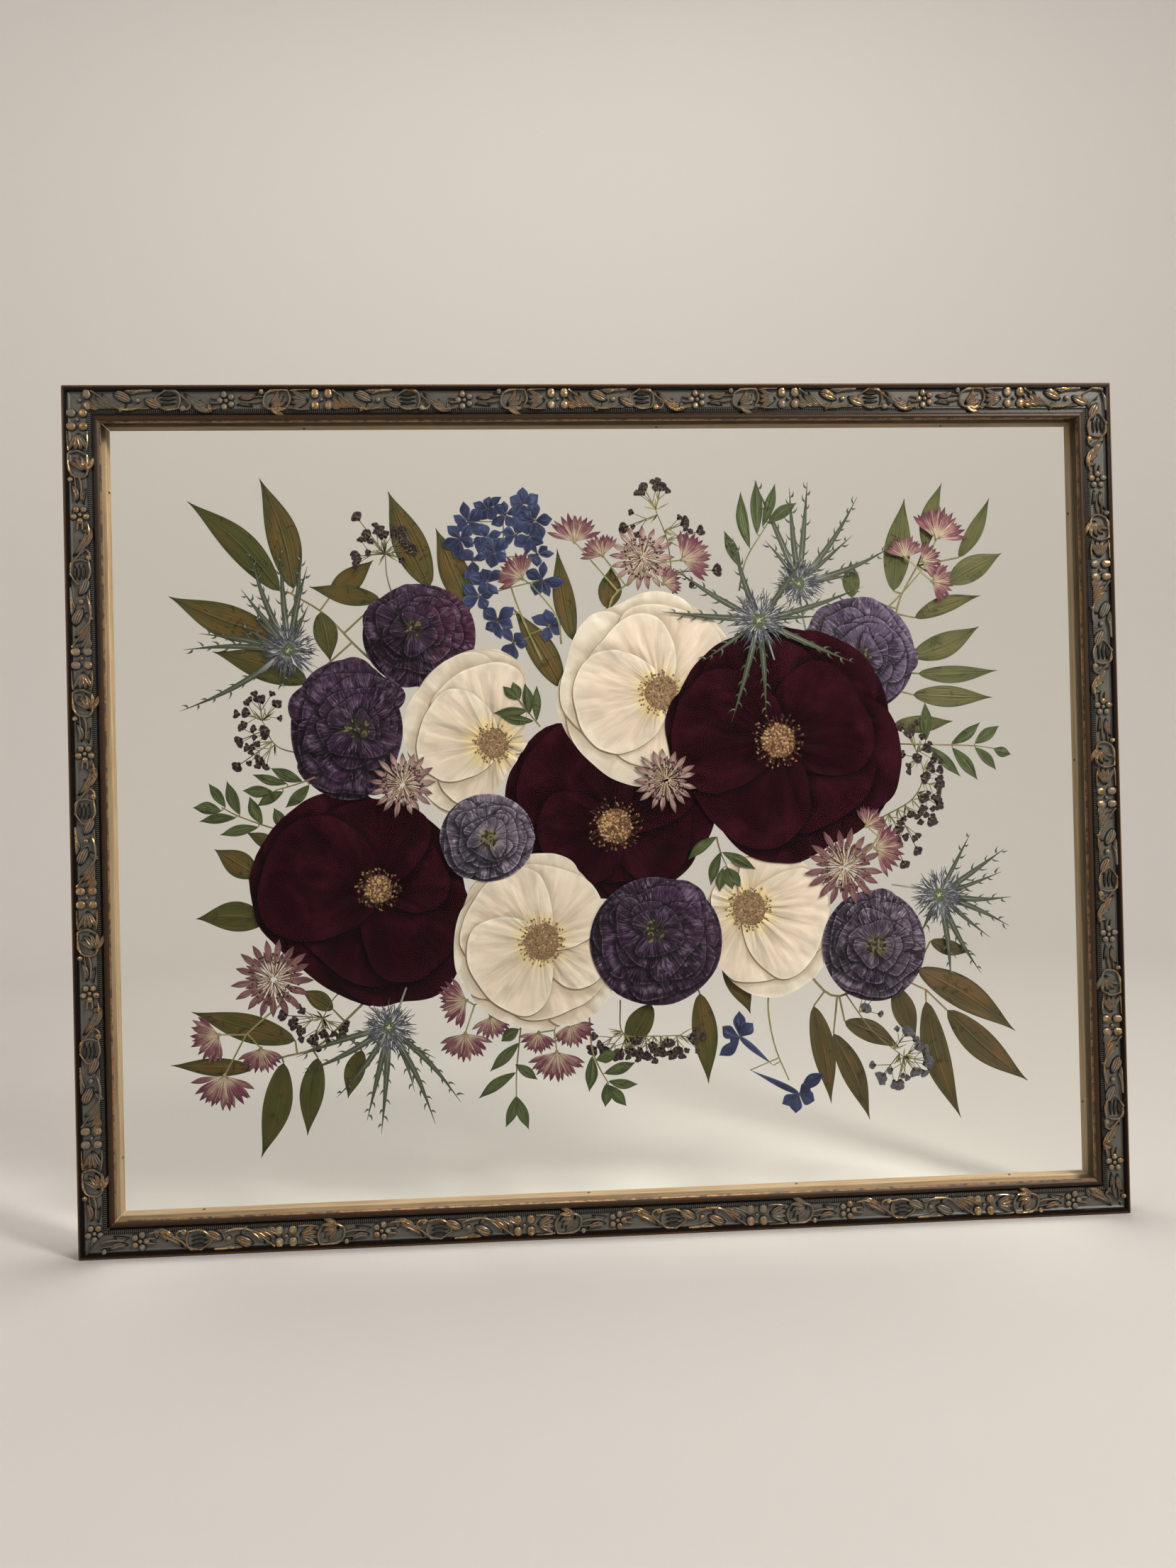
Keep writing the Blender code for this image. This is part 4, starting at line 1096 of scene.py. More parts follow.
# %% Ranunculus finish
def crumpled_finish(name, dark, middle, light, heart, painted_shade, blush=None):
    """Return a creased petal, with painted shade in its folds and under the petals above, and
    painted highlights on the crests of its swollen middle and along its edge.
    """
    finish = Finish(name, roughness=0.5, specular=0.14)
    angle, reach = finish.laid()
    rim = finish.own("rim")
    tint = finish.own("tint")
    gap = finish.own("gap")
    place = finish.place()
    clouds = finish.noise(place, 60.0, detail=2.0, distortion=0.6)
    creases = finish.pattern(
        angle * 9.0, reach * 1.1, tint * 9.0, detail=6.0, roughness=0.68, distortion=2.2
    )
    pleats = finish.pattern(angle * 24.0, reach * 0.8, tint * 9.0, detail=3.0, distortion=0.5)
    near_rim = finish.below(rim, 1.5, 6.0)
    folds = creases + (pleats - creases) * near_rim * 0.45
    crests = finish.between(folds, 0.49, 0.60)
    swollen = finish.between(rim, 0.3, 3.0)
    colour = finish.mix(finish.between(clouds, 0.40, 0.60), dark, middle)
    if blush:
        x, _, _ = finish.parts(place)
        side = finish.between(clouds + x / MM * blush[1] - blush[2], 0.4, 0.7)
        colour = finish.mix(side * 0.7, colour, blush[0])
    # Painted highlights on the swollen middles and on the crests of the creases
    bulge = finish.pattern(angle * 2.6, reach * 1.3, tint * 5.0, detail=1.0)
    shade = swollen * finish.between(bulge, 0.46, 0.60)
    colour = finish.mix(finish.between(tint, 0.4, 1.0) * shade * 0.35, colour, light)
    colour = finish.mix(crests * (0.25 + shade * 0.75), colour, light)
    # Painted shade in the creases
    colour = finish.mix(finish.below(folds, 0.38, 0.46) * 0.8, colour, painted_shade)
    near = finish.below(reach, 0.2, 0.8)
    colour = finish.mix(near * finish.between(creases, 0.42, 0.6), colour, heart)
    # Painted highlight along the edge where its creases rise
    edge_highlight = finish.below(rim, 0.15, 1.0) * finish.between(folds, 0.44, 0.56)
    colour = finish.mix(edge_highlight * 0.5, colour, light)
    # Painted shadow of the petals above
    shadow = finish.below(gap, 0.2, 2.6)
    colour = finish.mix(shadow * 0.85, colour, painted_shade)
    finish.colour(colour)
    finish.feed("Roughness", 0.44 + (1.0 - crests) * 0.22)
    finish.relief(folds * 1.1 + bulge * 1.2 + finish.between(rim, 0.0, 2.5) * 0.5, 1.6)
    return finish.material


# Tones of a crumpled petal: dark, middle, the painted highlight, heart, and the painted shade of
# creases and of the petals above
DARK_PURPLE = (
    (0.014, 0.0038, 0.015), (0.040, 0.0150, 0.042), (0.20, 0.135, 0.22), (0.07, 0.06, 0.022),
    (0.0018, 0.0006, 0.0018),
)
# A blush: its colour, how fast it comes on per millimetre to the right, and where it starts
MAGENTA_SIDE = ((0.055, 0.006, 0.024), 0.035, -3.1)
BLUE_GREY = (
    (0.055, 0.042, 0.072), (0.140, 0.112, 0.165), (0.52, 0.46, 0.53), (0.56, 0.50, 0.30),
    (0.008, 0.005, 0.010),
)
LILAC_GREY = (
    (0.036, 0.024, 0.052), (0.088, 0.062, 0.110), (0.30, 0.24, 0.33), (0.012, 0.010, 0.012),
    (0.006, 0.0036, 0.008),
)
SLATE = (
    (0.026, 0.014, 0.034), (0.068, 0.045, 0.080), (0.38, 0.32, 0.40), (0.30, 0.26, 0.12),
    (0.003, 0.0018, 0.004),
)
# Each flower: its heart, its tones, and its pistil's radius
RANUNCULUS = {
    "ranunculus_upper_left": ((-97, 308.6), (*DARK_PURPLE, MAGENTA_SIDE), 4.5),
    "ranunculus_left": ((-125.7, 258.7), DARK_PURPLE, 6.0),
    "ranunculus_centre_left": ((-61, 202), BLUE_GREY, 4.0),
    "ranunculus_centre": ((22, 153), DARK_PURPLE, 5.5),
    "ranunculus_right": ((133, 291), LILAC_GREY, 6.0),
    "ranunculus_lower_right": ((137, 142), SLATE, 4.5),
}
RANUNCULUS_PETALS = 16
PETAL_TURN = 137.5
HALF_LIMIT = 22.0
PISTIL_GRAINS = 46
PISTIL = grain_finish(
    "ranunculus_pistil", (0.010, 0.008, 0.010), (0.02, 0.018, 0.016), (0.16, 0.16, 0.05)
)


def make_ranunculus(name, seed, heart, tones, pistil):
    """Build one ranunculus from a spiral of petals, the widest at the bottom."""
    material = crumpled_finish(f"{name}_petals", *tones)
    bench = Bench(name, seed + 40)
    lobed = outline_of(name, heart)

    def edge(turn):
        """Return the outline's reach without its lobes."""
        return sum(lobed(turn + step) for step in range(-24, 25, 6)) / 9 * 1.05

    lay_backing(bench, material, heart, lambda turn: edge(turn) * 0.97, 0.004, 0.5)
    start = bench.vary(0, 360)
    for number in range(RANUNCULUS_PETALS):
        share = number / (RANUNCULUS_PETALS - 1)
        direction = start + number * PETAL_TURN + bench.vary(-26, 26)
        room = edge(direction)
        far = room * (1.0 - 0.66 * share**1.15) * bench.vary(0.95, 1.0)
        half = min(room * (0.66 - 0.36 * share) * bench.vary(0.7, 1.3), HALF_LIMIT)
        lift = 0.012 + 0.016 * number
        lay_petal(bench, material, heart, direction, far * bench.vary(0.0, 0.1), far, half, lift,
                  bench.vary(0, 1), frill=0.12, notch=0.08, thickness=0.011, folds=0.005)
    bench.shade()
    for _ in range(PISTIL_GRAINS):
        place = onward(heart, bench.vary(0, 360), pistil * math.sqrt(bench.vary(0, 1)))
        turn = bench.vary(0, 360)
        lay_grain(bench, PISTIL, place, bench.vary(0.4, 0.9), lift + 0.02, bench.vary(0, 1),
                  bench.vary(1.0, 2.2), turn, flat=0.2)
    bench.finish(f"{name}_flower", "purple_petal")


for seed, (name, flower) in enumerate(RANUNCULUS.items()):
    make_ranunculus(name, seed, *flower)

# %% [markdown]
# ## Astrantia
#
# An astrantia head is a pincushion of tiny florets in a collar of pointed, papery bracts. Seen
# from the front the collar is a star of seventeen bracts with a shorter star on it, and the
# florets stand on thin pale stalks with dark red dots among them. Seen from the side it is a fan.


# %% Astrantia finishes
def bract_finish(name, base, body, tip, stripe):
    """Return a papery bract: pale at its base, coloured towards its tip, striped along."""
    finish = Finish(name, roughness=0.7, specular=0.25)
    across, along = finish.laid()
    tint = finish.own("tint")
    rim = finish.own("rim")
    stripes = finish.pattern(across * 9.0, along * 0.8, tint * 17.0, detail=2.0)
    colour = finish.mix(finish.between(along, 0.12, 0.55), base, body)
    colour = finish.mix(finish.between(along, 0.60, 1.0) * 0.8, colour, tip)
    marked = finish.between(stripes, 0.48, 0.60) * finish.between(along, 0.15, 0.5)
    colour = finish.mix(marked * 0.65, colour, stripe)
    left_pale = finish.below(stripes, 0.38, 0.45)
    left_pale = left_pale * finish.below(along, 0.6, 0.9)
    colour = finish.mix(left_pale * 0.6, colour, base)
    colour = finish.mix(finish.below(rim, 0.08, 0.34) * 0.85, colour, stripe)
    colour = finish.mix(finish.between(tint, 0.3, 1.0) * 0.12, colour, base)
    finish.colour(colour)
    finish.relief(stripes, 0.25)
    return finish.material


STAR_BRACT = bract_finish(
    "astrantia_star_bracts", (0.58, 0.49, 0.40), (0.36, 0.22, 0.20), (0.085, 0.026, 0.034),
    (0.070, 0.022, 0.026),
)
DUSTY_BRACT = bract_finish(
    "astrantia_dusty_bracts", (0.28, 0.17, 0.14), (0.19, 0.085, 0.090), (0.12, 0.045, 0.052),
    (0.050, 0.014, 0.020),
)
FAN_BRACT = bract_finish(
    "astrantia_fan_bracts", (0.60, 0.50, 0.34), (0.17, 0.045, 0.072), (0.065, 0.013, 0.027),
    (0.085, 0.014, 0.040),
)
FLORETS = grain_finish(
    "astrantia_florets", (0.050, 0.010, 0.014), (0.17, 0.055, 0.060), (0.45, 0.32, 0.20),
    (0.60, 0.49, 0.33),
)


def stem_finish(name, colour, other):
    """Return a dry stem, streaked along."""
    finish = Finish(name, roughness=0.65, specular=0.3)
    across, along = finish.laid()
    streaks = finish.pattern(across * 3.0, along * 6.0, 0.0, detail=3.0)
    patches = finish.noise(finish.place(), 90.0)
    mask = finish.between(streaks * 0.5 + patches * 0.5, 0.42, 0.6)
    finish.colour(finish.mix(mask, colour, other))
    finish.relief(streaks, 0.2)
    return finish.material


GREEN_STEM = stem_finish("green_stems", (0.15, 0.16, 0.055), (0.30, 0.26, 0.12))
TAN_STEM = stem_finish("tan_stems", (0.24, 0.18, 0.085), (0.12, 0.11, 0.045))
DARK_STEM = stem_finish("dark_stems", (0.085, 0.075, 0.038), (0.19, 0.155, 0.080))
THISTLE_STEM = stem_finish("thistle_stems", (0.25, 0.27, 0.24), (0.12, 0.15, 0.09))


# %% Astrantia heads
STAR_BRACTS = 17
STAR_THREADS = 84
STAR_DOTS = 90
FAN_FLORETS = 8
# Each row of a star: share of the radius, and width as a share of it
STAR_ROWS = ((1.04, 0.165), (0.74, 0.10))
# Each row of a fan: number of bracts, spread in degrees, share of the reach, and width
FAN_ROWS = ((11, 136, 1.0, 0.20), (8, 104, 0.9, 0.19))
# A head with a larger radius than this has dusty bracts
DUSTY_RADIUS = 18


def lay_star(bench, centre, radius, lift=0.0, bract=STAR_BRACT):
    """Lay a head that faces the front."""
    turn = bench.vary(0, 360)
    for row, (share, width) in enumerate(STAR_ROWS):
        for number in range(STAR_BRACTS):
            direction = turn + (number + 0.5 * row) * 360 / STAR_BRACTS + bench.vary(-3, 3)
            base = onward(centre, direction, radius * 0.25)
            aim = direction + bench.vary(-3, 3)
            tip = onward(centre, aim, radius * share * bench.vary(0.9, 1.03))
            height = lift + 0.02 + 0.05 * row + 0.02 * (number % 2)
            lay_leaf(bench, bract, base, tip, radius * width, height, bench.vary(0, 1),
                     fullest=0.66, blank=BRACT, thickness=0.02, fold=0.04)
    for number in range(STAR_THREADS):
        direction = number * 360 / STAR_THREADS + bench.vary(-4, 4)
        far = radius * bench.vary(0.30, 0.60)
        start = onward(centre, direction, far * bench.vary(0.1, 0.5))
        end = onward(centre, direction + bench.vary(-6, 6), far)
        tint = bench.vary(0.55, 1.0) if number % 2 else bench.vary(0.0, 0.4)
        lay_stem(bench, FLORETS, [start, end], bench.vary(0.35, 0.6), lift + 0.15, tint,
                 blank=TWIG, thickness=0.10)
    for _ in range(STAR_DOTS):
        end = onward(centre, bench.vary(0, 360), radius * bench.vary(0.36, 0.64))
        lay_grain(bench, FLORETS, end, bench.vary(0.3, 0.62), lift + 0.20, bench.vary(0.0, 0.3),
                  bench.vary(1.0, 1.6), bench.vary(0, 360))


def lay_fan(bench, foot, direction, reach, lift=0.0):
    """Lay a head that is seen from the side."""
    for row, (count, spread, share, width) in enumerate(FAN_ROWS):
        for number in range(count):
            turn = direction + spread * (number / (count - 1) - 0.5) + bench.vary(-4, 4)
            base = onward(foot, turn, reach * 0.02)
            tip = onward(foot, turn, reach * share * bench.vary(0.9, 1.02))
            height = lift + 0.03 + 0.06 * row + 0.025 * (number % 2)
            lay_leaf(bench, FAN_BRACT, base, tip, reach * width * 0.85, height,
                     bench.vary(0, 1), fullest=0.66, blank=BRACT, thickness=0.02, fold=0.05)
    for _ in range(FAN_FLORETS):
        turn = direction + bench.vary(-35, 35)
        end = onward(foot, turn, reach * bench.vary(0.5, 0.85))
        lay_stem(bench, FLORETS, [foot, end], 0.3, lift + 0.17, bench.vary(0.6, 1.0),
                 blank=TWIG, thickness=0.1)
    lay_grain(bench, GREEN_STEM, foot, 1.1, lift + 0.15, 0.5, 1.2, direction)


# Each single head: its middle and its radius
ASTRANTIA_HEADS = {
    "astrantia_head_left": ((-103.4, 230.4), 16.5),
    "astrantia_head_centre": ((29.5, 229.6), 16.5),
    "astrantia_head_lower_left": ((-169.9, 134.3), 20.0),
}
# Each sprig: the stem's route, then each head's foot, direction (None: it faces front), reach
ASTRANTIA_SPRIGS = {
    "astrantia_sprig_top": ([(4, 300), (4, 322), (20, 336), (20.5, 343.5)], [
        ((-14, 352), 90, 15), ((0.3, 344.7), 120, 12), ((40.8, 342.2), 25, 16),
        ((31, 330), 30, 10), ((20.5, 343.5), None, 17),
    ]),
    "astrantia_sprig_upper_left": ([(-22, 300), (-24, 314), (-36, 330)], [
        ((-41, 333.5), 135, 14),
    ]),
    "astrantia_sprig_right": ([(139, 198), (136, 194), (132, 190), (124, 185)], [
        ((137.2, 192), 0, 16), ((133, 203.6), 55, 11), ((120.8, 182.9), None, 20),
    ]),
    "astrantia_sprig_upper_right": ([(138, 312), (148, 317), (160, 329), (168, 338)], [
        ((173.7, 351.6), 70, 17), ((157.3, 342), 95, 12), ((165.8, 340), 15, 11),
        ((171, 329.4), 0, 12),
    ]),
    "astrantia_sprig_lower_left": ([(-166, 122), (-176, 114), (-184, 107)], [
        ((-197.4, 107.4), 205, 15), ((-177, 100), 270, 13), ((-195, 87), 262, 18),
    ]),
    "astrantia_sprig_bottom_left": ([(-62, 130), (-64, 122), (-70, 118)], [
        ((-74, 120.6), 190, 15), ((-62, 112), 285, 12), ((-75, 104), 268, 15),
    ]),
    "astrantia_sprig_bottom": ([(-20, 122), (-25, 112), (-30, 104)], [
        ((-21.5, 107.3), 285, 13), ((-38, 103), 262, 11), ((-29, 93), 270, 16),
    ]),
}


def lay_stalk(bench, material, stem, base, width, lift=0.02, blank=TWIG):
    """Lay a stalk from the nearest place on a stem to the base of what it carries."""
    foot = nearest_on(stem, base)
    if math.dist(foot, base) > 0.8:
        lay_stem(bench, material, [foot, base], width, lift, bench.vary(0, 1), 0.8, blank=blank)


for seed, (name, (centre, radius)) in enumerate(ASTRANTIA_HEADS.items()):
    bench = Bench(name, seed + 60)
    lay_star(bench, centre, radius, bract=DUSTY_BRACT if radius > DUSTY_RADIUS else STAR_BRACT)
    bench.finish(f"{name}_flower", "pink_bract")

for seed, (name, (stem, heads)) in enumerate(ASTRANTIA_SPRIGS.items()):
    bench = Bench(name, seed + 70)
    lay_stem(bench, GREEN_STEM, stem, 1.3, 0.0)
    for foot, direction, reach in heads:
        lay_stalk(bench, GREEN_STEM, stem, foot, 0.9)
        if direction is None:
            bract = DUSTY_BRACT if reach > DUSTY_RADIUS else STAR_BRACT
            lay_star(bench, foot, reach, 0.04, bract)
        else:
            lay_fan(bench, foot, direction, reach)
    bench.finish(f"{name}_flowers", "pink_bract")


# %% [markdown]
# ## Sea holly
#
# A sea holly head is a small spiky cone on a ruff of stiff bracts. The long ones are 2 to 3 mm
# wide with curved spines along both sides, grey green outside and almost white where they meet.
# Many short needles fill the middle, and these are what makes the head look steel blue.


# %% Sea holly finishes
def thistle_finish(name, base, body, tip):
    """Return a stiff bract: pale at its base and along its midrib."""
    finish = Finish(name, roughness=0.55, specular=0.15)
    across, along = finish.laid()
    tint = finish.own("tint")
    fine = finish.pattern(across * 8.0, along * 3.0, tint * 13.0, detail=3.0)
    colour = finish.mix(finish.between(along + (fine - 0.5) * 0.3, 0.03, 0.30), base, body)
    colour = finish.mix(finish.between(along, 0.55, 1.0), colour, tip)
    midrib = finish.below(abs(across - 0.5), 0.03, 0.12)
    colour = finish.mix(midrib * (1.0 - along) * 0.5, colour, base)
    edge = finish.between(abs(across - 0.5), 0.36, 0.48)
    colour = finish.mix(edge * 0.7, colour, (0.022, 0.026, 0.018))
    finish.colour(colour)
    finish.relief(fine + midrib * 0.6, 0.3)
    return finish.material


THISTLE_BRACT = thistle_finish(
    "thistle_bracts", (0.42, 0.43, 0.43), (0.068, 0.077, 0.048), (0.044, 0.058, 0.020)
)
THISTLE_NEEDLE = thistle_finish(
    "thistle_needles", (0.40, 0.41, 0.44), (0.085, 0.088, 0.115), (0.020, 0.022, 0.032)
)
THISTLE_CONE = thistle_finish(
    "thistle_cone", (0.28, 0.30, 0.10), (0.085, 0.12, 0.060), (0.24, 0.26, 0.22)
)

RUFF_NEEDLES = 26
SHORT_NEEDLES = 170
CONE_SCALES = 70
# Bracts longer than this are broad ones
BROAD_FROM = 38
BROAD = 2.9
NARROW = 2.1
# Head's middle, its radius, the tips of its long bracts, and the stem's route
ERYNGIUM = {
    "eryngium_upper_left": ((-159, 299), 10.0, [
        (-177.7, 351), (-162, 351), (-152, 350), (-149, 341), (-203, 308), (-211, 300),
        (-213.4, 269.3), (-183, 312), (-177, 317), (-148.6, 322), (-162, 280), (-182, 330),
    ], [(-159, 299), (-147, 287), (-136, 276)]),
    "eryngium_centre": ((79.6, 310.4), 11.0, [
        (67, 353), (29.5, 315.5), (36, 337.6), (134, 327), (129, 287.6), (82, 262),
        (64, 258), (104, 344), (50, 290), (112, 312),
    ], [(80, 308), (84, 300), (87, 290)]),
    "eryngium_top_right": ((101.3, 329.4), 9.0, [
        (79, 383), (97.5, 379), (107, 382), (133, 374), (130, 354), (151.5, 348.5),
        (133, 334), (84, 352),
    ], [(101, 327), (103, 312), (106, 298)]),
    "eryngium_right": ((171, 167), 10.0, [
        (188, 198), (206, 190), (209, 165), (207.5, 150), (197.5, 144), (192, 126),
        (176, 122), (204, 178), (160, 146),
    ], [(171, 169), (158, 171), (146, 173)]),
    "eryngium_bottom_left": ((-113, 108.4), 9.5, [
        (-156.5, 87), (-159.5, 95), (-125, 62), (-118, 55), (-91, 59), (-78, 69.4),
        (-101, 75.6), (-140, 74), (-90, 92),
    ], [(-113, 110), (-108, 118), (-104, 128)]),
}


def lay_spiny(bench, root, tip, width, lift):
    """Lay a bract with spines that curve forward along both sides."""
    direction, length = heading(root, tip)
    bend = bench.vary(-0.05, 0.05)
    tint = bench.vary(0, 1)
    lay_leaf(bench, THISTLE_BRACT, root, tip, width, lift, tint, fullest=0.30, bend=bend,
             thickness=0.05, blank=BRACT, fold=0.05)
    share = 0.16
    side = bench.rng.choice((-1, 1))
    while share < 0.95:
        aside = bend * length * math.sin(math.pi * share)
        base = onward(root, direction, share * length, aside)
        reach = bench.vary(3.2, 6.0) * (1.1 - 0.4 * share)
        turn = direction - side * bench.vary(28, 52)
        end = onward(base, turn, reach)
        lay_leaf(bench, THISTLE_BRACT, base, end, bench.vary(0.8, 1.2), lift + 0.01, tint,
                 fullest=0.2, bend=0.16 * side, blank=SPINE, thickness=0.04)
        side = -side
        share += bench.vary(2.6, 5.2) / length


def make_thistle(name, seed, centre, radius, tips, stem):
    """Build one sea holly head."""
    bench = Bench(name, seed + 90)
    lay_stem(bench, THISTLE_STEM, stem, 1.5, 0.0, thickness=0.2)
    for tip in tips:
        direction, length = heading(centre, tip)
        root = onward(centre, direction, 1.5)
        width = BROAD if length > BROAD_FROM else NARROW
        lay_spiny(bench, root, tip, width, bench.vary(0.05, 0.16))
    for number in range(RUFF_NEEDLES):
        direction = number * 360 / RUFF_NEEDLES + bench.vary(-6, 6)
        root = onward(centre, direction, radius * 0.2)
        tip = onward(centre, direction, radius * bench.vary(0.9, 1.6))
        lay_leaf(bench, THISTLE_NEEDLE, root, tip, bench.vary(0.5, 0.85), bench.vary(0.16, 0.24),
                 bench.vary(0, 1), fullest=0.3, bend=bench.vary(-0.06, 0.06), blank=SPINE,
                 thickness=0.03)
        for _ in range(2):
            fork = onward(centre, direction, radius * bench.vary(0.5, 1.0))
            end = onward(fork, direction + bench.vary(-50, 50), radius * bench.vary(0.25, 0.45))
            lay_leaf(bench, THISTLE_NEEDLE, fork, end, 0.42, bench.vary(0.2, 0.26),
                     bench.vary(0, 1), fullest=0.25, blank=SPINE, thickness=0.03)
    for _ in range(SHORT_NEEDLES):
        direction = bench.vary(0, 360)
        root = onward(centre, direction, radius * bench.vary(0.15, 0.95))
        tip = onward(root, direction + bench.vary(-30, 30), radius * bench.vary(0.35, 0.8))
        lay_leaf(bench, THISTLE_NEEDLE, root, tip, bench.vary(0.25, 0.45), bench.vary(0.22, 0.32),
                 bench.vary(0, 1), fullest=0.25, blank=SPINE, thickness=0.03)
    for number in range(CONE_SCALES):
        share = math.sqrt((number + 0.5) / CONE_SCALES)
        turn = math.degrees(number * GOLDEN_TURN)
        root = onward(centre, turn, radius * 0.26 * share)
        tip = onward(root, turn + bench.vary(-25, 25), radius * bench.vary(0.1, 0.25))
        lay_leaf(bench, THISTLE_CONE, root, tip, 0.6, 0.30 + 0.10 * (1 - share),
                 bench.vary(0, 1), fullest=0.3, blank=SPINE, thickness=0.05)
    bench.finish(f"{name}_head", "thistle")


for seed, (name, head) in enumerate(ERYNGIUM.items()):
    make_thistle(name, seed, *head)

# %% [markdown]
# ## Delphinium
#
# The blue sprays are larkspur florets, each five thin petals and a spur. They dry in crumpled
# blue, with painted shade in the folds and painted highlights on the crests. The lower sprig shows
# two larger florets from the side.

# %% Delphinium
BLUE = crumpled_finish(
    "delphinium_petals", (0.022, 0.029, 0.082), (0.056, 0.073, 0.180), (0.20, 0.24, 0.41),
    (0.030, 0.030, 0.060), (0.006, 0.007, 0.020),
)
DELPHINIUM_STEM = [(-32, 292), (-40, 310), (-47, 330), (-50, 350), (-50, 366)]
DELPHINIUM_FLORETS = [
    (-40, 372), (-58, 369), (-68, 363), (-34, 363), (-59, 354), (-44, 356), (-33, 346),
    (-66, 343), (-59, 332), (-31, 333), (-54, 312), (-46, 301), (-28, 309), (-72, 354),
    (-49, 366), (-63, 325), (-37, 355), (-55, 347),
]
LOWER_STEM = [(82, 128), (80, 112), (83, 92), (90, 74)]
# Each lower floret: its middle, its petals' tips, and its spur's tip
LOWER_FLORETS = [
    ((65, 97), [(65, 110.5), (56, 103), (54, 88), (72, 104), (60, 94)], (82, 82)),
    ((95, 67), [(108, 77), (103, 63), (93, 57), (86, 62), (100, 72)], (70, 80)),
]


def lay_floret(bench, centre, size):
    """Lay an open floret of five pointed, crumpled petals."""
    turn = bench.vary(0, 360)
    for number in range(5):
        direction = turn + number * 72 + bench.vary(-20, 20)
        tip = onward(centre, direction, size * bench.vary(0.8, 1.3))
        lay_leaf(bench, BLUE, centre, tip, size * bench.vary(0.5, 0.8), 0.12 + 0.03 * number,
                 bench.vary(0, 1), fullest=0.58, bend=bench.vary(-0.12, 0.12), blank=BRACT,
                 wave=0.08)
    for _ in range(4):
        place = onward(centre, bench.vary(0, 360), bench.vary(0.2, 1.0))
        lay_grain(bench, FLORETS, place, 0.4, 0.32, bench.vary(0.0, 1.0))


bench = Bench("delphinium_top", 110)
lay_stem(bench, GREEN_STEM, DELPHINIUM_STEM, 1.3, 0.0)
for centre in DELPHINIUM_FLORETS:
    lay_stalk(bench, GREEN_STEM, DELPHINIUM_STEM, centre, 0.7)
    foot = nearest_on(DELPHINIUM_STEM, centre)
    direction, _ = heading(foot, centre)
    lay_leaf(bench, BLUE, onward(centre, direction, 1.0), onward(centre, direction + 200, 7.0),
             2.2, 0.08, bench.vary(0, 1), fullest=0.3, blank=BRACT, thickness=0.04)
    lay_floret(bench, centre, bench.vary(7.4, 9.2))
bench.finish("delphinium_top_spray", "blue_petal")

bench = Bench("delphinium_bottom", 111)
lay_stem(bench, GREEN_STEM, LOWER_STEM, 1.3, 0.0)
for centre, tips, spur in LOWER_FLORETS:
    lay_stalk(bench, GREEN_STEM, LOWER_STEM, spur, 0.7)
    lay_leaf(bench, BLUE, centre, spur, 3.2, 0.05, 0.4, fullest=0.3, thickness=0.06)
    for number, tip in enumerate(tips):
        lay_leaf(bench, BLUE, centre, tip, bench.vary(6.0, 8.0), 0.12 + 0.03 * number,
                 bench.vary(0, 1), fullest=0.6, bend=bench.vary(-0.15, 0.15), wave=0.08)
bench.finish("delphinium_bottom_spray", "blue_petal")

# %% [markdown]
# ## Leaves
#
# Two kinds of leaf fill the edges: long olive ruscus leaves with parallel veins, and sprigs of
# small green leaflets with a pale midrib. Both are the strip blank, swelled to a leaf's width,
# bent a little aside, and folded along the midrib. The list of each sprig gives the stem's route
# and every leaf's tip, base and width.


# %% Leaf finishes
def leaf_finish(name, body, other, blotch, vein, lines, midrib_share):
    """Return a leaf with veins along it, clouds of a second colour, and blotches."""
    finish = Finish(name, roughness=0.5, specular=0.2)
    across, along = finish.laid()
    tint = finish.own("tint")
    rim = finish.own("rim")
    place = finish.place()
    clouds = finish.noise(place, 75.0, detail=3.0)
    veins = finish.pattern(across * lines, along * 1.2, tint * 31.0, detail=2.0, roughness=0.4)
    spots = finish.between(finish.noise(place, 210.0, detail=3.0, distortion=1.0), 0.58, 0.68)
    rust = finish.pattern(across * 2.0, along * 2.5, tint * 23.0, detail=2.0)
    mask = finish.between(clouds * 0.3 + tint * 0.25 + rust * 0.6 + veins * 0.15, 0.55, 0.75)
    mask = mask * finish.between(rim, 0.4, 2.2) * finish.below(along, 0.72, 0.95)
    colour = finish.mix(mask, body, other)
    colour = finish.mix(finish.between(veins, 0.46, 0.58) * 0.5, colour, vein)
    midrib = finish.below(abs(across - 0.5), 0.012, 0.045)
    colour = finish.mix(midrib * midrib_share, colour, vein)
    colour = finish.mix(spots * 0.6, colour, blotch)
    colour = finish.mix(finish.below(rim, 0.05, 0.35) * 0.5, colour, blotch)
    finish.colour(colour)
    finish.feed("Roughness", 0.45 + veins * 0.25)
    finish.relief(veins * 0.35 + rust * 1.2 + midrib * 0.3 + spots * 0.2, 0.9)
    return finish.material


OLIVE_LEAF = leaf_finish(
    "ruscus_leaves", (0.044, 0.047, 0.008), (0.108, 0.058, 0.012), (0.011, 0.010, 0.003),
    (0.095, 0.085, 0.022), 38.0, 0.3,
)
BROWN_LEAF = leaf_finish(
    "brown_ruscus_leaves", (0.054, 0.044, 0.013), (0.115, 0.060, 0.021), (0.018, 0.012, 0.006),
    (0.120, 0.090, 0.036), 38.0, 0.3,
)
PALE_LEAF = leaf_finish(
    "pale_ruscus_leaves", (0.062, 0.069, 0.018), (0.105, 0.090, 0.030), (0.022, 0.023, 0.008),
    (0.130, 0.130, 0.052), 38.0, 0.4,
)
GREEN_LEAF = leaf_finish(
    "green_leaflets", (0.036, 0.054, 0.016), (0.070, 0.085, 0.028), (0.015, 0.021, 0.008),
    (0.125, 0.140, 0.055), 10.0, 0.7,
)

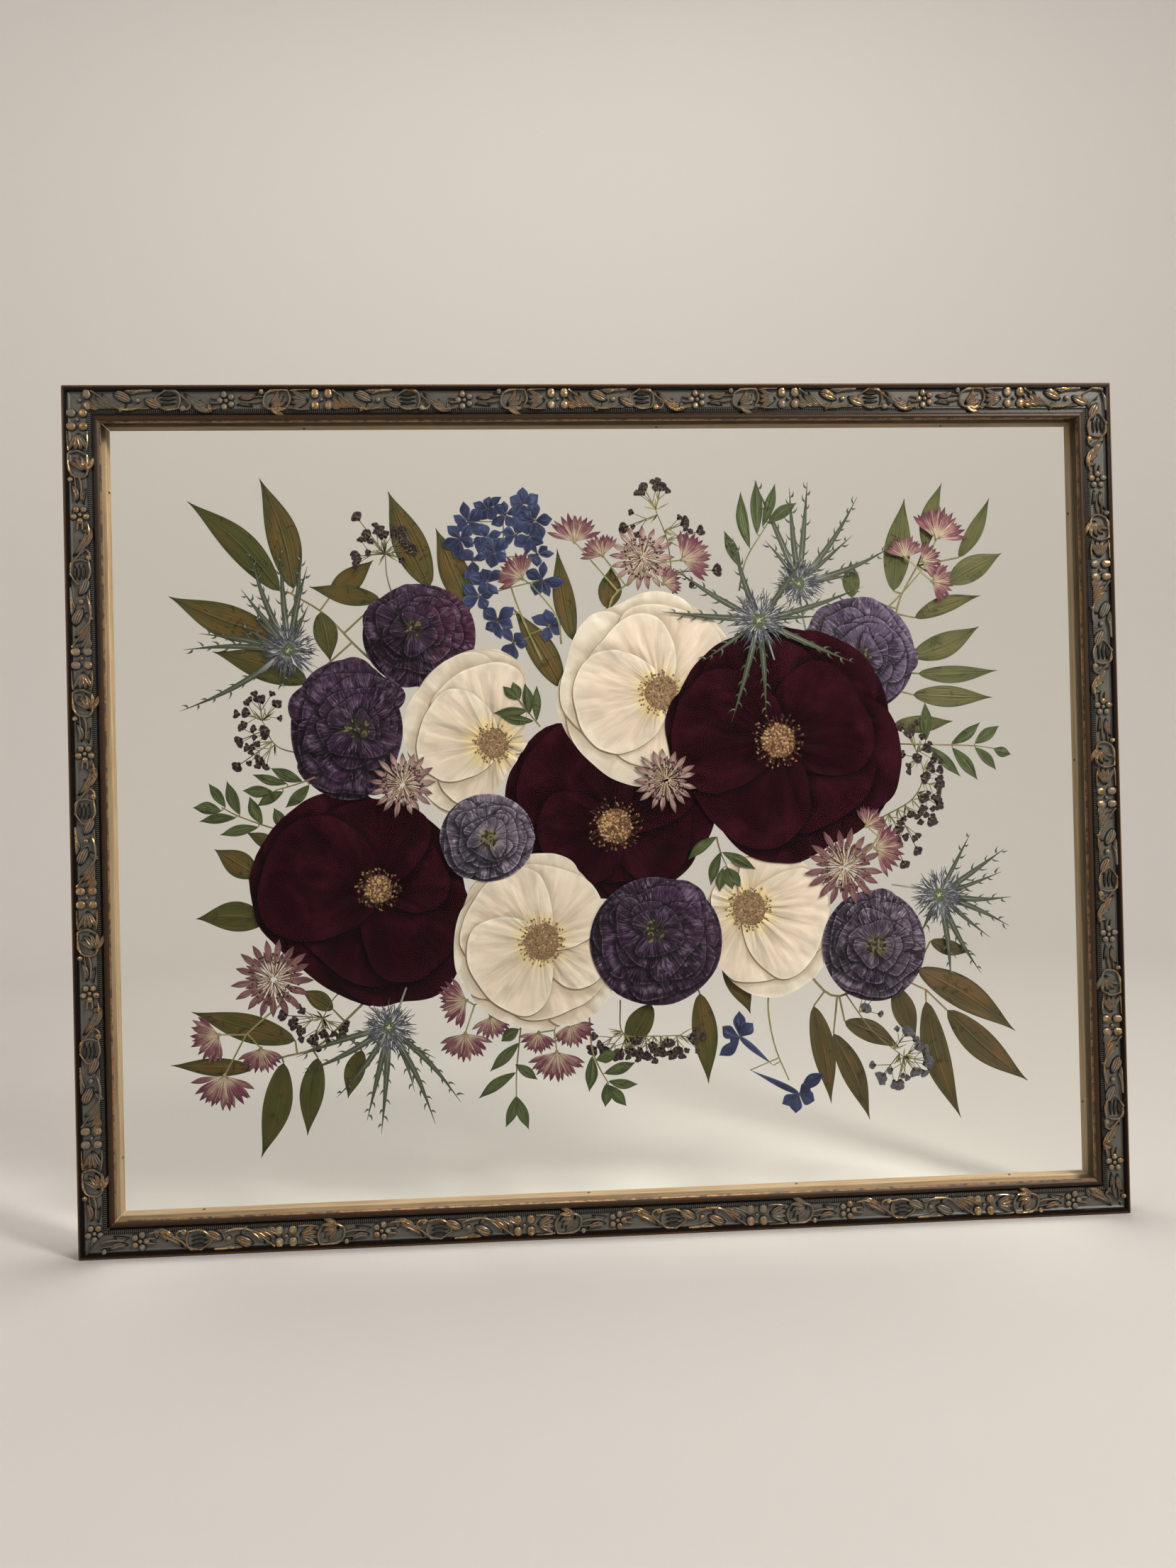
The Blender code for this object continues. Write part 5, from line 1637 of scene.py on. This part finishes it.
# %% Ruscus
# Each sprig: its leaves' finish, its stem's route, and each leaf's tip, base and width
RUSCUS = {
    "ruscus_upper_left": (OLIVE_LEAF, [(-112, 288), (-125, 300), (-141, 317), (-158, 328)], [
        ((-208, 374.6), (-163, 329), 15), ((-172, 386), (-156, 330), 16),
        ((-218, 327), (-165, 306), 17), ((-197, 299), (-150, 283), 15),
        ((-148.6, 331), (-113, 324), 10), ((-138.6, 293), (-143, 318), 12),
        ((-116, 344), (-138.6, 325), 12),
    ]),
    "ruscus_upper_middle": (OLIVE_LEAF, [(-86, 296), (-82, 316), (-84, 330)], [
        ((-108, 379), (-88, 330), 17), ((-84.4, 360), (-68, 318), 15),
    ]),
    "ruscus_top_middle": (OLIVE_LEAF, [(-10, 268), (-10, 298), (0, 316)], [
        ((-23, 349), (-16, 302), 11), ((4.4, 339.6), (2, 318), 12),
        ((-46, 318.6), (-22, 278), 14),
    ]),
    "ruscus_right": (PALE_LEAF, [(140, 250), (147, 276), (150, 300), (154, 320), (164, 338)], [
        ((158, 373), (151, 325), 14), ((178, 381), (168, 347), 9), ((203, 373), (186, 342), 8),
        ((209, 344), (180, 329), 13), ((129, 341), (129, 322), 9), ((197, 322), (162, 311), 9),
        ((196, 306), (160, 291), 13), ((205, 283), (163, 282), 9), ((202, 269), (160, 271), 11),
        ((181, 257), (150, 256), 9),
    ]),
    "ruscus_lower_right": (BROWN_LEAF, [(100, 130), (116, 116), (142, 126), (163, 118)], [
        ((210, 95), (159, 129), 16), ((216, 69), (174, 107), 15), ((180, 51), (163, 112), 14),
        ((157, 91), (147, 120), 12), ((149, 88), (120, 103), 11), ((132, 52), (114, 97), 12),
        ((112, 61), (104, 111.5), 12), ((188, 137), (166, 143), 8),
    ]),
    "ruscus_bottom": (OLIVE_LEAF, [(16, 122), (42, 128), (58, 142)], [
        ((6, 90), (20, 115), 13), ((48.5, 73.5), (45, 120), 13), ((71, 108.6), (58, 136), 12),
    ]),
    "ruscus_lower_left": (OLIVE_LEAF, [
        (-118, 128), (-135, 112), (-150, 99), (-166, 95), (-181, 90),
    ], [
        ((-211, 119), (-160, 103), 14), ((-221.6, 92.7), (-181, 90), 9),
        ((-178, 45), (-166, 92), 14), ((-155, 55), (-149, 94), 12), ((-134.5, 73), (-127, 97), 10),
        ((-156.5, 128), (-141, 118), 9),
    ]),
    "ruscus_left": (OLIVE_LEAF, [(-146, 168), (-168, 166), (-172, 178), (-165, 200)], [
        ((-198, 200), (-177, 186), 13), ((-207.7, 165.4), (-173, 164), 15),
        ((-182, 208), (-167, 200), 7),
    ]),
}

for seed, (name, (material, stem, leaves)) in enumerate(RUSCUS.items()):
    bench = Bench(name, seed + 120)
    lay_stem(bench, TAN_STEM, stem, 1.6, 0.0, thickness=0.2)
    for number, (tip, base, width) in enumerate(leaves):
        lay_stalk(bench, TAN_STEM, stem, base, 1.1)
        lay_leaf(bench, material, base, tip, width, 0.08 + 0.05 * (number % 3), bench.vary(0, 1),
                 bend=bench.vary(-0.05, 0.05), wave=0.04)
    bench.finish(f"{name}_leaves", "olive_leaf")

# %% Green sprigs
LEAFLET_WIDTH = 5.6
# The sprigs on the roses are a little smaller, and lie in front of the petals
ON_ROSE_WIDTH = LEAFLET_WIDTH * 0.9
ON_ROSE_LIFT = 0.42
# Each sprig: its stem's route, and each leaflet's tip and base
LEAFLETS = {
    "green_sprig_upper_left": ([(-150, 206), (-166, 209), (-185, 216), (-194, 221)], [
        ((-200, 233), (-192, 221)), ((-191, 234), (-185, 217)), ((-208, 221), (-194, 219)),
        ((-205, 214), (-187, 215.5)), ((-180, 226), (-174, 212)), ((-195, 207), (-176, 210.5)),
        ((-168, 220), (-164, 209)),
    ]),
    "green_sprig_left": ([(-147, 235), (-155, 232), (-166, 229)], [
        ((-178, 237), (-161, 232)), ((-169, 240), (-153.5, 233)), ((-183, 229), (-168, 228)),
        ((-176, 221), (-163, 228)), ((-162, 220), (-150, 231)),
    ]),
    "green_sprig_bottom_left": ([(-45, 122), (-47, 105), (-49.5, 84), (-50, 70)], [
        ((-63, 84), (-48, 98)), ((-69, 70.6), (-50, 83)), ((-55.6, 55.5), (-50, 71)),
        ((-44, 54), (-50, 71)), ((-39, 79), (-50, 87)), ((-57, 99), (-48, 105)),
    ]),
    "green_sprig_bottom": ([(-12, 110), (-11, 94), (-7, 83), (-3, 76)], [
        ((-13, 72), (-11, 90)), ((6, 64), (-3, 75)), ((2, 92), (-9, 88)),
        ((11, 86), (-5, 81)), ((12, 75), (-3, 77)), ((-5, 64), (-4, 76)),
    ]),
    "green_sprig_right": ([(146, 246), (165, 245), (190, 244), (204, 242)], [
        ((195, 256), (179.5, 245)), ((205, 254), (192, 245)), ((184, 228), (168, 244)),
        ((193, 226), (180, 243)), ((203, 231), (192, 243)), ((211, 239), (202, 242)),
        ((166, 267), (166, 247)),
    ]),
    "green_sprig_top_right": ([(70, 326), (74, 342), (84, 358)], [
        ((72, 377), (76, 348)), ((90, 381), (83, 359)), ((80, 383), (80, 355)),
        ((101, 371), (86, 361)), ((63, 357), (71, 338)),
    ]),
}
# Two small sprigs that lie on roses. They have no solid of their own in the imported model.
ON_WHITE_ROSE = ([(-33.6, 258), (-40, 266), (-45, 273)], [
    ((-57, 265.5), (-40, 266.5)), ((-53.6, 263.5), (-37, 261)), ((-52, 279), (-45, 272)),
    ((-47, 281), (-44, 272)), ((-41, 280), (-39, 264.5)), ((-35, 279), (-35.5, 261)),
])
ON_RED_ROSE = ([(55, 200), (57, 192), (60, 185)], [
    ((40, 188.6), (55, 200)), ((51.5, 175), (57, 192)), ((56, 172), (58, 184)),
    ((63, 173), (60, 184)), ((67, 174), (60.5, 184)), ((75, 183), (58, 192)),
])


def lay_sprig(bench, stem, leaflets, width, lift=0.0):
    """Lay a stem and its leaflets."""
    lay_stem(bench, TAN_STEM, stem, 1.1, lift)
    for number, (tip, base) in enumerate(leaflets):
        lay_stalk(bench, TAN_STEM, stem, base, 0.7, lift)
        lay_leaf(bench, GREEN_LEAF, base, tip, width * bench.vary(0.85, 1.15),
                 lift + 0.06 + 0.05 * (number % 3), bench.vary(0, 1),
                 bend=bench.vary(-0.05, 0.05), fullest=0.5, wave=0.02)


for seed, (name, (stem, leaflets)) in enumerate(LEAFLETS.items()):
    bench = Bench(name, seed + 140)
    lay_sprig(bench, stem, leaflets, LEAFLET_WIDTH)
    bench.finish(f"{name}_leaves", "green_leaf")

bench = Bench("rose_white_upper_left", 150)
lay_sprig(bench, *ON_WHITE_ROSE, ON_ROSE_WIDTH, lift=ON_ROSE_LIFT)
bench.finish("green_sprig_on_white_rose", "green_leaf", replaces=False)
bench = Bench("rose_white_lower_right", 151)
lay_sprig(bench, *ON_RED_ROSE, ON_ROSE_WIDTH, lift=ON_ROSE_LIFT)
bench.finish("green_sprig_on_red_rose", "green_leaf", replaces=False)

# %% [markdown]
# ## Buds
#
# Between the flowers stand twigs of small, nearly black buds that shrank to crumpled beads, each
# in a short green cup. One sprig at the lower right is statice, with grey-blue papery florets.

# %% Buds
DARK_BUD = crumpled_finish(
    "dark_buds", (0.018, 0.010, 0.013), (0.055, 0.032, 0.036), (0.20, 0.14, 0.15),
    (0.020, 0.012, 0.016), (0.016, 0.010, 0.012),
)
STATICE_PAPER = crumpled_finish(
    "statice_paper", (0.055, 0.055, 0.085), (0.100, 0.100, 0.135), (0.26, 0.26, 0.31),
    (0.20, 0.19, 0.20), (0.03, 0.03, 0.04),
)
# Each sprig: its twig's route, and its larger buds' middles
BUDS = {
    "bud_sprig_upper_left": ([(-104, 318), (-109, 334), (-110, 347)], [
        (-119, 357), (-110, 357), (-101, 356), (-96, 349), (-125, 346), (-124, 366),
    ]),
    "bud_sprig_top": ([(36, 322), (34, 350), (28, 368)], [
        (22, 380), (31, 380), (11, 359), (43, 361), (51, 357), (59, 337),
    ]),
    "bud_sprig_left": ([(-150, 246), (-166, 251), (-173, 264)], [
        (-174, 275), (-165, 272), (-181, 268), (-185, 254), (-175, 244), (-186, 241),
        (-172, 258),
    ]),
    "bud_sprig_bottom": ([(4, 118), (5, 101), (20, 99), (34, 99)], [
        (-11, 93), (-4, 91), (3, 91), (10, 91), (17, 89), (24, 91), (41, 97), (33, 91),
        (28, 95), (20, 94), (12, 97),
    ]),
    "bud_sprig_right": ([(142, 208), (158, 217), (164, 230), (160, 243)], [
        (157, 251), (166, 243), (168, 233), (172, 223), (165, 228), (172, 213), (168, 205),
        (160, 190), (153, 183), (157, 209), (150, 201), (161, 238), (164, 217),
    ]),
    "statice_sprig": ([(120, 118), (134, 98), (150, 84)], [
        (131, 110), (152.5, 97), (158, 89), (163, 81), (156, 76), (138, 74), (146, 69),
    ]),
}
LOWER_LEFT_BUDS = ([(-128, 134), (-140, 124), (-146, 114)], [
    (-166, 116), (-161, 111), (-146, 106), (-152, 102.5), (-136, 107),
])


def lay_bud(bench, centre, direction, size, petals=DARK_BUD):
    """Lay a crumpled bud in its cup."""
    cup = onward(centre, direction, -size * 0.9)
    for number in range(4):
        turn = direction + (number - 1.5) * 22 + bench.vary(-8, 8)
        lay_petal(bench, petals, cup, turn, 0.2, size * bench.vary(1.6, 2.05),
                  size * bench.vary(0.5, 0.75), 0.12 + 0.05 * number, bench.vary(0, 1),
                  frill=0.13, notch=0.1, blank=SMALL_PETAL, folds=0.045, thickness=0.1)
    for turn in (-28, 0, 28):
        tip = onward(cup, direction + turn, size * 0.95)
        lay_leaf(bench, DARK_STEM, onward(cup, direction, -0.6), tip, 1.3, 0.33,
                 bench.vary(0, 1), fullest=0.4, blank=SPINE, thickness=0.04)


def lay_buds(bench, stem, centres, petals=DARK_BUD, lift=0.0):
    """Lay a twig and its buds, each pointing away from the twig, and smaller buds by them."""
    lay_stem(bench, DARK_STEM, stem, 0.9, lift)
    for centre in centres:
        foot = nearest_on(stem, centre)
        direction, _ = heading(foot, centre)
        lay_stalk(bench, DARK_STEM, stem, onward(centre, direction, -2.6), 0.65, lift)
        lay_bud(bench, centre, direction + bench.vary(-15, 15), bench.vary(2.1, 2.8), petals)
        fork = onward(foot, direction, math.dist(foot, centre) * bench.vary(0.2, 0.5))
        for side in (-1.0, 0.3, 1.0):
            turn = direction + side * bench.vary(25, 60)
            tip = onward(fork, turn, bench.vary(5.0, 9.0))
            lay_stem(bench, DARK_STEM, [fork, tip], 0.5, lift, bench.vary(0, 1), blank=TWIG)
            lay_bud(bench, onward(tip, turn, 1.4), turn, bench.vary(1.2, 1.9), petals)
        for _ in range(3):
            turn = direction + bench.vary(-60, 60)
            lay_leaf(bench, GREEN_STEM, foot, onward(foot, turn, bench.vary(4, 8)), 0.6,
                     lift + 0.1, bench.vary(0, 1), blank=SPINE, thickness=0.04)


for seed, (name, (stem, centres)) in enumerate(BUDS.items()):
    bench = Bench(name, seed + 160)
    lay_buds(bench, stem, centres, STATICE_PAPER if name == "statice_sprig" else DARK_BUD)
    bench.finish(f"{name}_buds", "dark_bud")

bench = Bench("green_sprig_bottom_left", 170)
lay_buds(bench, *LOWER_LEFT_BUDS)
bench.finish("bud_sprig_lower_left_buds", "dark_bud", replaces=False)

# %% [markdown]
# ## The carving
#
# The band of the moulding holds a low relief of pressed composition: a small flower between two
# buds, curling leaves, a rosette, a bell flower and four berries, over and over. Each
# shape is a round or pointed blank, domed towards the front and grooved along its middle. One run
# of ornament is listed in its own coordinates, along the rail and across the band. It is then
# laid on each rail again and again, and cut off at the mitres, as the saw cut the real one.

# %% Carving
BAND_MIDDLE = 7.7
# Depth of the band's ground at some distances from the frame's outer edge
GROUND_INWARD = (2.8, 3.3, 4.2, 8.0, 11.2, 12.2, 12.9)
GROUND_DEPTH = (0.1, 1.2, 2.0, 1.9, 2.0, 1.5, 1.35)
CREST = 0.12
RELIEF = 1.6
# How far a carved shape's edge and its back lie below the ground, as shares of the relief
DOME_SUNK = 0.15
CARVED_BACK = -0.3
RUN_LENGTH = 118.0
# Where a run begins on each rail, from its middle
RUN_SHIFT = {"bottom": -47.3, "left": 37.7, "top": 21.2, "right": 0.0}
MITRE_GAP = 0.2
MITRE_CLEAR = 6.0
# A ridge may start this much nearer to the mitre than a leaf or bead
RIDGE_EXTRA = 4.0
RIDGE = 1.3
SWEPT_RIDGE = 1.2
THIN_RIDGE = 0.8
# A fifth of a turn in radians, from one petal of the rosette to the next
FIFTH_TURN = 1.257
ROSETTE_REACH = 3.1
# Leaves of one run: place along and across, length, width, direction, bend, height
RUN_LEAVES = [
    # bell flower: a cup of four ribs
    *[(6.0, 0.2, 10.5, 3.0, turn, 0.0, 1.1) for turn in (-26, -9, 9, 26)],
    # shell: ribs that fan out inside a loop
    *[(26.2, 2.8, 9.6, 2.7, turn, 0.10, 1.15) for turn in (148, 170, 192, 214, 236)],
    (24.5, 3.0, 5.0, 3.8, 190, 0.0, 1.2),
    (31, -3.8, 11, 3.4, 14, -0.12, 1.1), (33.5, 3.6, 9.0, 2.4, -8, 0.1, 0.9),
    # long curling leaf with teeth
    (68.0, -4.0, 16.5, 3.6, 152, 0.12, 1.15), (65.0, -0.6, 13.0, 3.0, 148, 0.12, 1.2),
    (60.0, -0.8, 8.0, 2.6, 120, 0.1, 1.1), (55.0, 0.6, 6.0, 2.4, 100, 0.1, 1.0),
    # oval with two ribs
    *[(71.0, offset, 9.0, 1.7, 0, 0.0, 0.8) for offset in (-2.6, -0.5, 1.6)],
    # pair of almonds beside a dot
    (77.5, 3.4, 11.0, 5.4, -24, -0.05, 1.2), (102.5, -3.4, 11.0, 5.4, 156, -0.05, 1.2),
    (83.0, 4.4, 8.0, 2.2, 2, 0.1, 0.9), (97.0, -4.4, 8.0, 2.2, 182, 0.1, 0.9),
    # four long ribs that sweep across the band
    *[(97.5 + 3.0 * k, 4.6 - 0.2 * k, 13.5 - 0.8 * k, 2.9, -40 + 4 * k, -0.13, 1.2)
      for k in range(4)],
    (95.0, 1.6, 6.5, 2.4, 50, 0.1, 1.0), (108.5, 4.4, 6.0, 2.2, -20, -0.1, 1.0),
]
# Beads of one run: place along and across, radius, height
RUN_BEADS = [
    (-3.3, 2.7, 2.5, 1.2), (-3.3, -2.7, 2.5, 1.2), (3.3, 2.7, 2.5, 1.2),
    (3.3, -2.7, 2.5, 1.2), (0, 0, 1.1, 1.0), (47.0, 0.4, 1.3, 1.0),
    *[(47.0 + ROSETTE_REACH * math.cos(k * FIFTH_TURN),
       0.4 + ROSETTE_REACH * math.sin(k * FIFTH_TURN), 1.9, 1.1) for k in range(5)],
    (90.0, 0.2, 1.5, 1.2), (68.2, 4.0, 1.8, 1.1), (29.6, -3.6, 1.4, 1.0),
]
# Ridges of one run: a route of places along and across, and a width
RUN_RIDGES = [
    ([(16.6, -4.4), (15.6, 0.0), (17.6, 4.2)], RIDGE),
    ([(17.6, 4.6), (24, 5.0), (28.0, 3.4), (28.6, 0.0), (26.6, -3.6), (20, -4.9), (16.6, -4.4)],
     RIDGE),
    ([(28.4, 0.4), (33, 1.4), (39.5, 1.0)], RIDGE),
    ([(28, -1.8), (33, -1.4), (40, -1.8)], THIN_RIDGE),
    ([(50.6, -0.6), (54.5, -1.0)], RIDGE), ([(50.6, 1.6), (54.5, 1.6)], RIDGE),
    ([(51.5, 4.4), (56, 4.9), (61, 3.4), (66, 0.2), (71, -3.6), (76, -4.9)], SWEPT_RIDGE),
    ([(70.4, 4.2), (66.4, 4.8), (64.4, 2.6), (66.4, 1.0)], SWEPT_RIDGE),
    ([(70.6, 4.4), (69.4, 0.4), (70.6, -3.6), (76, -4.8)], RIDGE),
    ([(70.6, 4.4), (76, 4.9), (80.4, 2.4), (81.2, -1.4), (76, -4.8)], RIDGE),
    ([(92, 4.9), (98, 4.6), (104, 2.0), (109, -2.2), (112.5, -4.6)], SWEPT_RIDGE),
    ([(83, -4.7), (89, -4.2), (93, -2.8)], RIDGE), ([(87, 2.8), (91, 4.2), (97, 4.7)], RIDGE),
    ([(6.0, -4.9), (11, -4.9), (15.4, -4.3)], THIN_RIDGE),
    ([(6.0, 4.9), (11, 4.9), (15.4, 4.3)], THIN_RIDGE),
]
CARVED_LEAF = round_blank("carved_leaf", 18, (0.12, 0.2, 0.24))


def on_rail(side, start, along, across, height):
    """Return the places on a rail for points along it, across its band and above its ground.
    Points past a mitre are brought back to it, as the saw cut the real moulding."""
    inward = BAND_MIDDLE + across
    reach = rail_half(side) - inward - MITRE_GAP
    run = np.clip(start + along, -reach, reach)
    ground = np.interp(inward, GROUND_INWARD, GROUND_DEPTH)
    depth = FRONT + np.maximum(ground - RELIEF * height, CREST)
    half_width = WIDTH / 2
    if side == "bottom":
        return run, depth, inward
    if side == "top":
        return -run, depth, HEIGHT - inward
    if side == "right":
        return half_width - inward, depth, HEIGHT / 2 + run
    return inward - half_width, depth, HEIGHT / 2 - run


def rail_half(side):
    """Return half the length of a rail, in millimetres."""
    return (WIDTH if side in ("bottom", "top") else HEIGHT) / 2


def domed(height, groove=1.0):
    """Return how high the points of a carved shape stand above the band's ground."""
    dome = (height + DOME_SUNK) * np.sqrt(np.maximum(1.0 - CARVED_LEAF.radius**2, 0.0)) * groove
    return np.where(CARVED_LEAF.y < 0.5, dome - DOME_SUNK, CARVED_BACK)


def carve_leaf(parts, side, start, spec):
    """Lay one grooved leaf on a rail."""
    along, across, length, width, direction, bend, height = spec
    blank = CARVED_LEAF
    forward = length / 2 * (1 + blank.radius * np.cos(blank.bearing))
    taper = 1.0 - 0.45 * np.abs(np.cos(blank.bearing)) ** 3
    aside = width / 2 * blank.radius * np.sin(blank.bearing) * taper
    share = forward / length
    aside = aside + bend * length * np.sin(math.pi * share)
    groove = 1.0 - 0.35 * np.exp(-((blank.radius * np.sin(blank.bearing) / 0.16) ** 2))
    place = onward((along, across), direction, forward, aside)
    x, y, z = on_rail(side, start, *place, domed(height, groove))
    parts.append(cut(blank, x, y, z, blank.x, blank.z, 0.5, 1.0, carved_patina))


def carve_bead(parts, side, start, spec):
    """Lay one bead on a rail."""
    along, across, radius, height = spec
    blank = CARVED_LEAF
    place = (along + radius * blank.x, across + radius * blank.z)
    x, y, z = on_rail(side, start, *place, domed(height))
    parts.append(cut(blank, x, y, z, blank.x, blank.z, 0.5, 0.0, carved_patina))


def carve_ridge(parts, side, start, route, width):
    """Lay one raised line on a rail."""
    swell = 0.6 + 0.4 * np.sin(math.pi * np.clip(STEM.z, 0.02, 0.98))
    along, across = beside_route(STEM, route, width / 2 * swell)
    x, y, z = on_rail(side, start, along, across, 0.25 - 0.75 * STEM.y)
    parts.append(cut(STEM, x, y, z, STEM.x, STEM.z, 0.5, 0.0, carved_patina))


for side in SIDES:
    parts = []
    half = rail_half(side) - MITRE_CLEAR
    for run in range(-3, 3):
        start = run * RUN_LENGTH + RUN_SHIFT[side]
        for spec in RUN_LEAVES:
            if abs(start + spec[0]) < half:
                carve_leaf(parts, side, start, spec)
        for spec in RUN_BEADS:
            if abs(start + spec[0]) < half:
                carve_bead(parts, side, start, spec)
        for route, width in RUN_RIDGES:
            ends = (abs(start + route[0][0]), abs(start + route[-1][0]))
            if max(ends) < half + RIDGE_EXTRA:
                carve_ridge(parts, side, start, route, width)
    carving = joined(parts, f"carving_{side}")
    bpy.ops.object.mode_set(mode="EDIT")
    bpy.ops.mesh.select_all(action="SELECT")
    bpy.ops.mesh.normals_make_consistent(inside=False)
    bpy.ops.object.mode_set(mode="OBJECT")
    bpy.ops.object.shade_smooth_by_angle(angle=SMOOTH_ANGLE)
    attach(carving, "root")
    print(carving.name, len(carving.data.polygons), "faces")

# %% [markdown]
# ## Mitres
#
# The solids of the rails stop a little short of each other. In the frame the joint is glued and
# filled, so a thin dark sheet closes each of the four gaps, a little below the surface.

# %% Mitre joints
JOINT_WIDTH = 0.26
JOINT_FRONT = 2.1
JOINT_INSET = 0.3
# How far in from the frame's edges the joint reaches, and its length along the mitre
JOINT_REACH = 12.2
RABBET_CORNER = JOINT_REACH * math.sqrt(2)
JOINT_DEPTH = BACK - FRONT - JOINT_FRONT - JOINT_INSET
joints = []
for turn in (45, 135, 225, 315):
    across = WIDTH / 2 if turn in (45, 315) else -WIDTH / 2
    up = HEIGHT if turn in (45, 135) else 0.0
    inner = onward((across, up), turn + 180, JOINT_INSET)
    middle = onward(inner, turn + 180, RABBET_CORNER / 2)
    only()
    bpy.ops.mesh.primitive_cube_add(
        size=1.0,
        location=(middle[0] * MM, (FRONT + BACK + JOINT_FRONT) / 2 * MM, middle[1] * MM),
        rotation=(0, -math.radians(turn), 0),
        scale=(RABBET_CORNER * MM, JOINT_DEPTH * MM, JOINT_WIDTH * MM),
    )
    bpy.ops.object.transform_apply(location=True, rotation=True, scale=True)
    joints.append(bpy.context.object)
    joints[-1].data.materials.append(rail_patina)
mitres = joined(joints, "mitre_joints")
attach(mitres, "root")

# %% [markdown]
# ## Brads
#
# Small steel brads hold the bare strips. Their heads show as dark dots on the strips' inner
# faces. A head is a cylinder with its rim bevelled.

# %% Brads
HEAD_RADIUS = 0.75
HEAD_HEIGHT = 0.35
HEAD_SUNK = 0.1
HEAD_BEVEL = 0.1
stop_low, stop_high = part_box("stop_bottom")
STRIP_MIDDLE = (stop_low.y + stop_high.y) / 2
STRIP_INNER = stop_high.z / MM
# Each brad's side, and its place along that side from the frame's middle
BRADS = [
    ("bottom", -208), ("bottom", -14), ("bottom", 94), ("bottom", 207), ("left", -169),
    ("left", 165), ("right", -160), ("right", 20), ("right", 150), ("top", -150), ("top", 30),
    ("top", 180),
]
# Each side's turns about X and Y, so that its heads face into the opening
FACING = {
    "bottom": (0, 0),
    "top": (math.pi, 0),
    "left": (0, math.pi / 2),
    "right": (0, -math.pi / 2),
}
steel = Finish("brad_steel", roughness=0.45)
rust = steel.noise(steel.place(), 900.0)
steel.colour(steel.mix(steel.between(rust, 0.4, 0.6), (0.10, 0.08, 0.065), (0.05, 0.03, 0.02)))
steel.shader.inputs["Metallic"].default_value = 0.8
heads = []
for side, along in BRADS:
    inner = STRIP_INNER + HEAD_HEIGHT / 2 - HEAD_SUNK
    place = {
        "bottom": (along, inner),
        "top": (along, HEIGHT - inner),
        "left": (inner - WIDTH / 2, HEIGHT / 2 + along),
        "right": (WIDTH / 2 - inner, HEIGHT / 2 + along),
    }[side]
    only()
    bpy.ops.mesh.primitive_cylinder_add(
        vertices=14, radius=HEAD_RADIUS * MM, depth=HEAD_HEIGHT * MM,
        location=(place[0] * MM, STRIP_MIDDLE, place[1] * MM),
        rotation=(*FACING[side], 0),
    )
    head = bpy.context.object
    bpy.ops.object.transform_apply(location=True, rotation=True, scale=False)
    bpy.ops.object.mode_set(mode="EDIT")
    bpy.ops.mesh.select_all(action="SELECT")
    bpy.ops.mesh.bevel(offset=HEAD_BEVEL * MM, segments=1, affect="EDGES")
    bpy.ops.object.mode_set(mode="OBJECT")
    head.data.materials.append(steel.material)
    heads.append(head)
brads = joined(heads, "brads")
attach(brads, "root")

# %% [markdown]
# ## Closing up
#
# The blanks have done their work and are removed.

# %% Finish
for blank in (ROSE_PETAL, ROSE_BACKING, PETAL, BACKING, SMALL_PETAL, LEAF, BRACT, SPINE, STEM,
              TWIG, GRAIN, CARVED_LEAF):
    bpy.data.objects.remove(blank.thing, do_unlink=True)
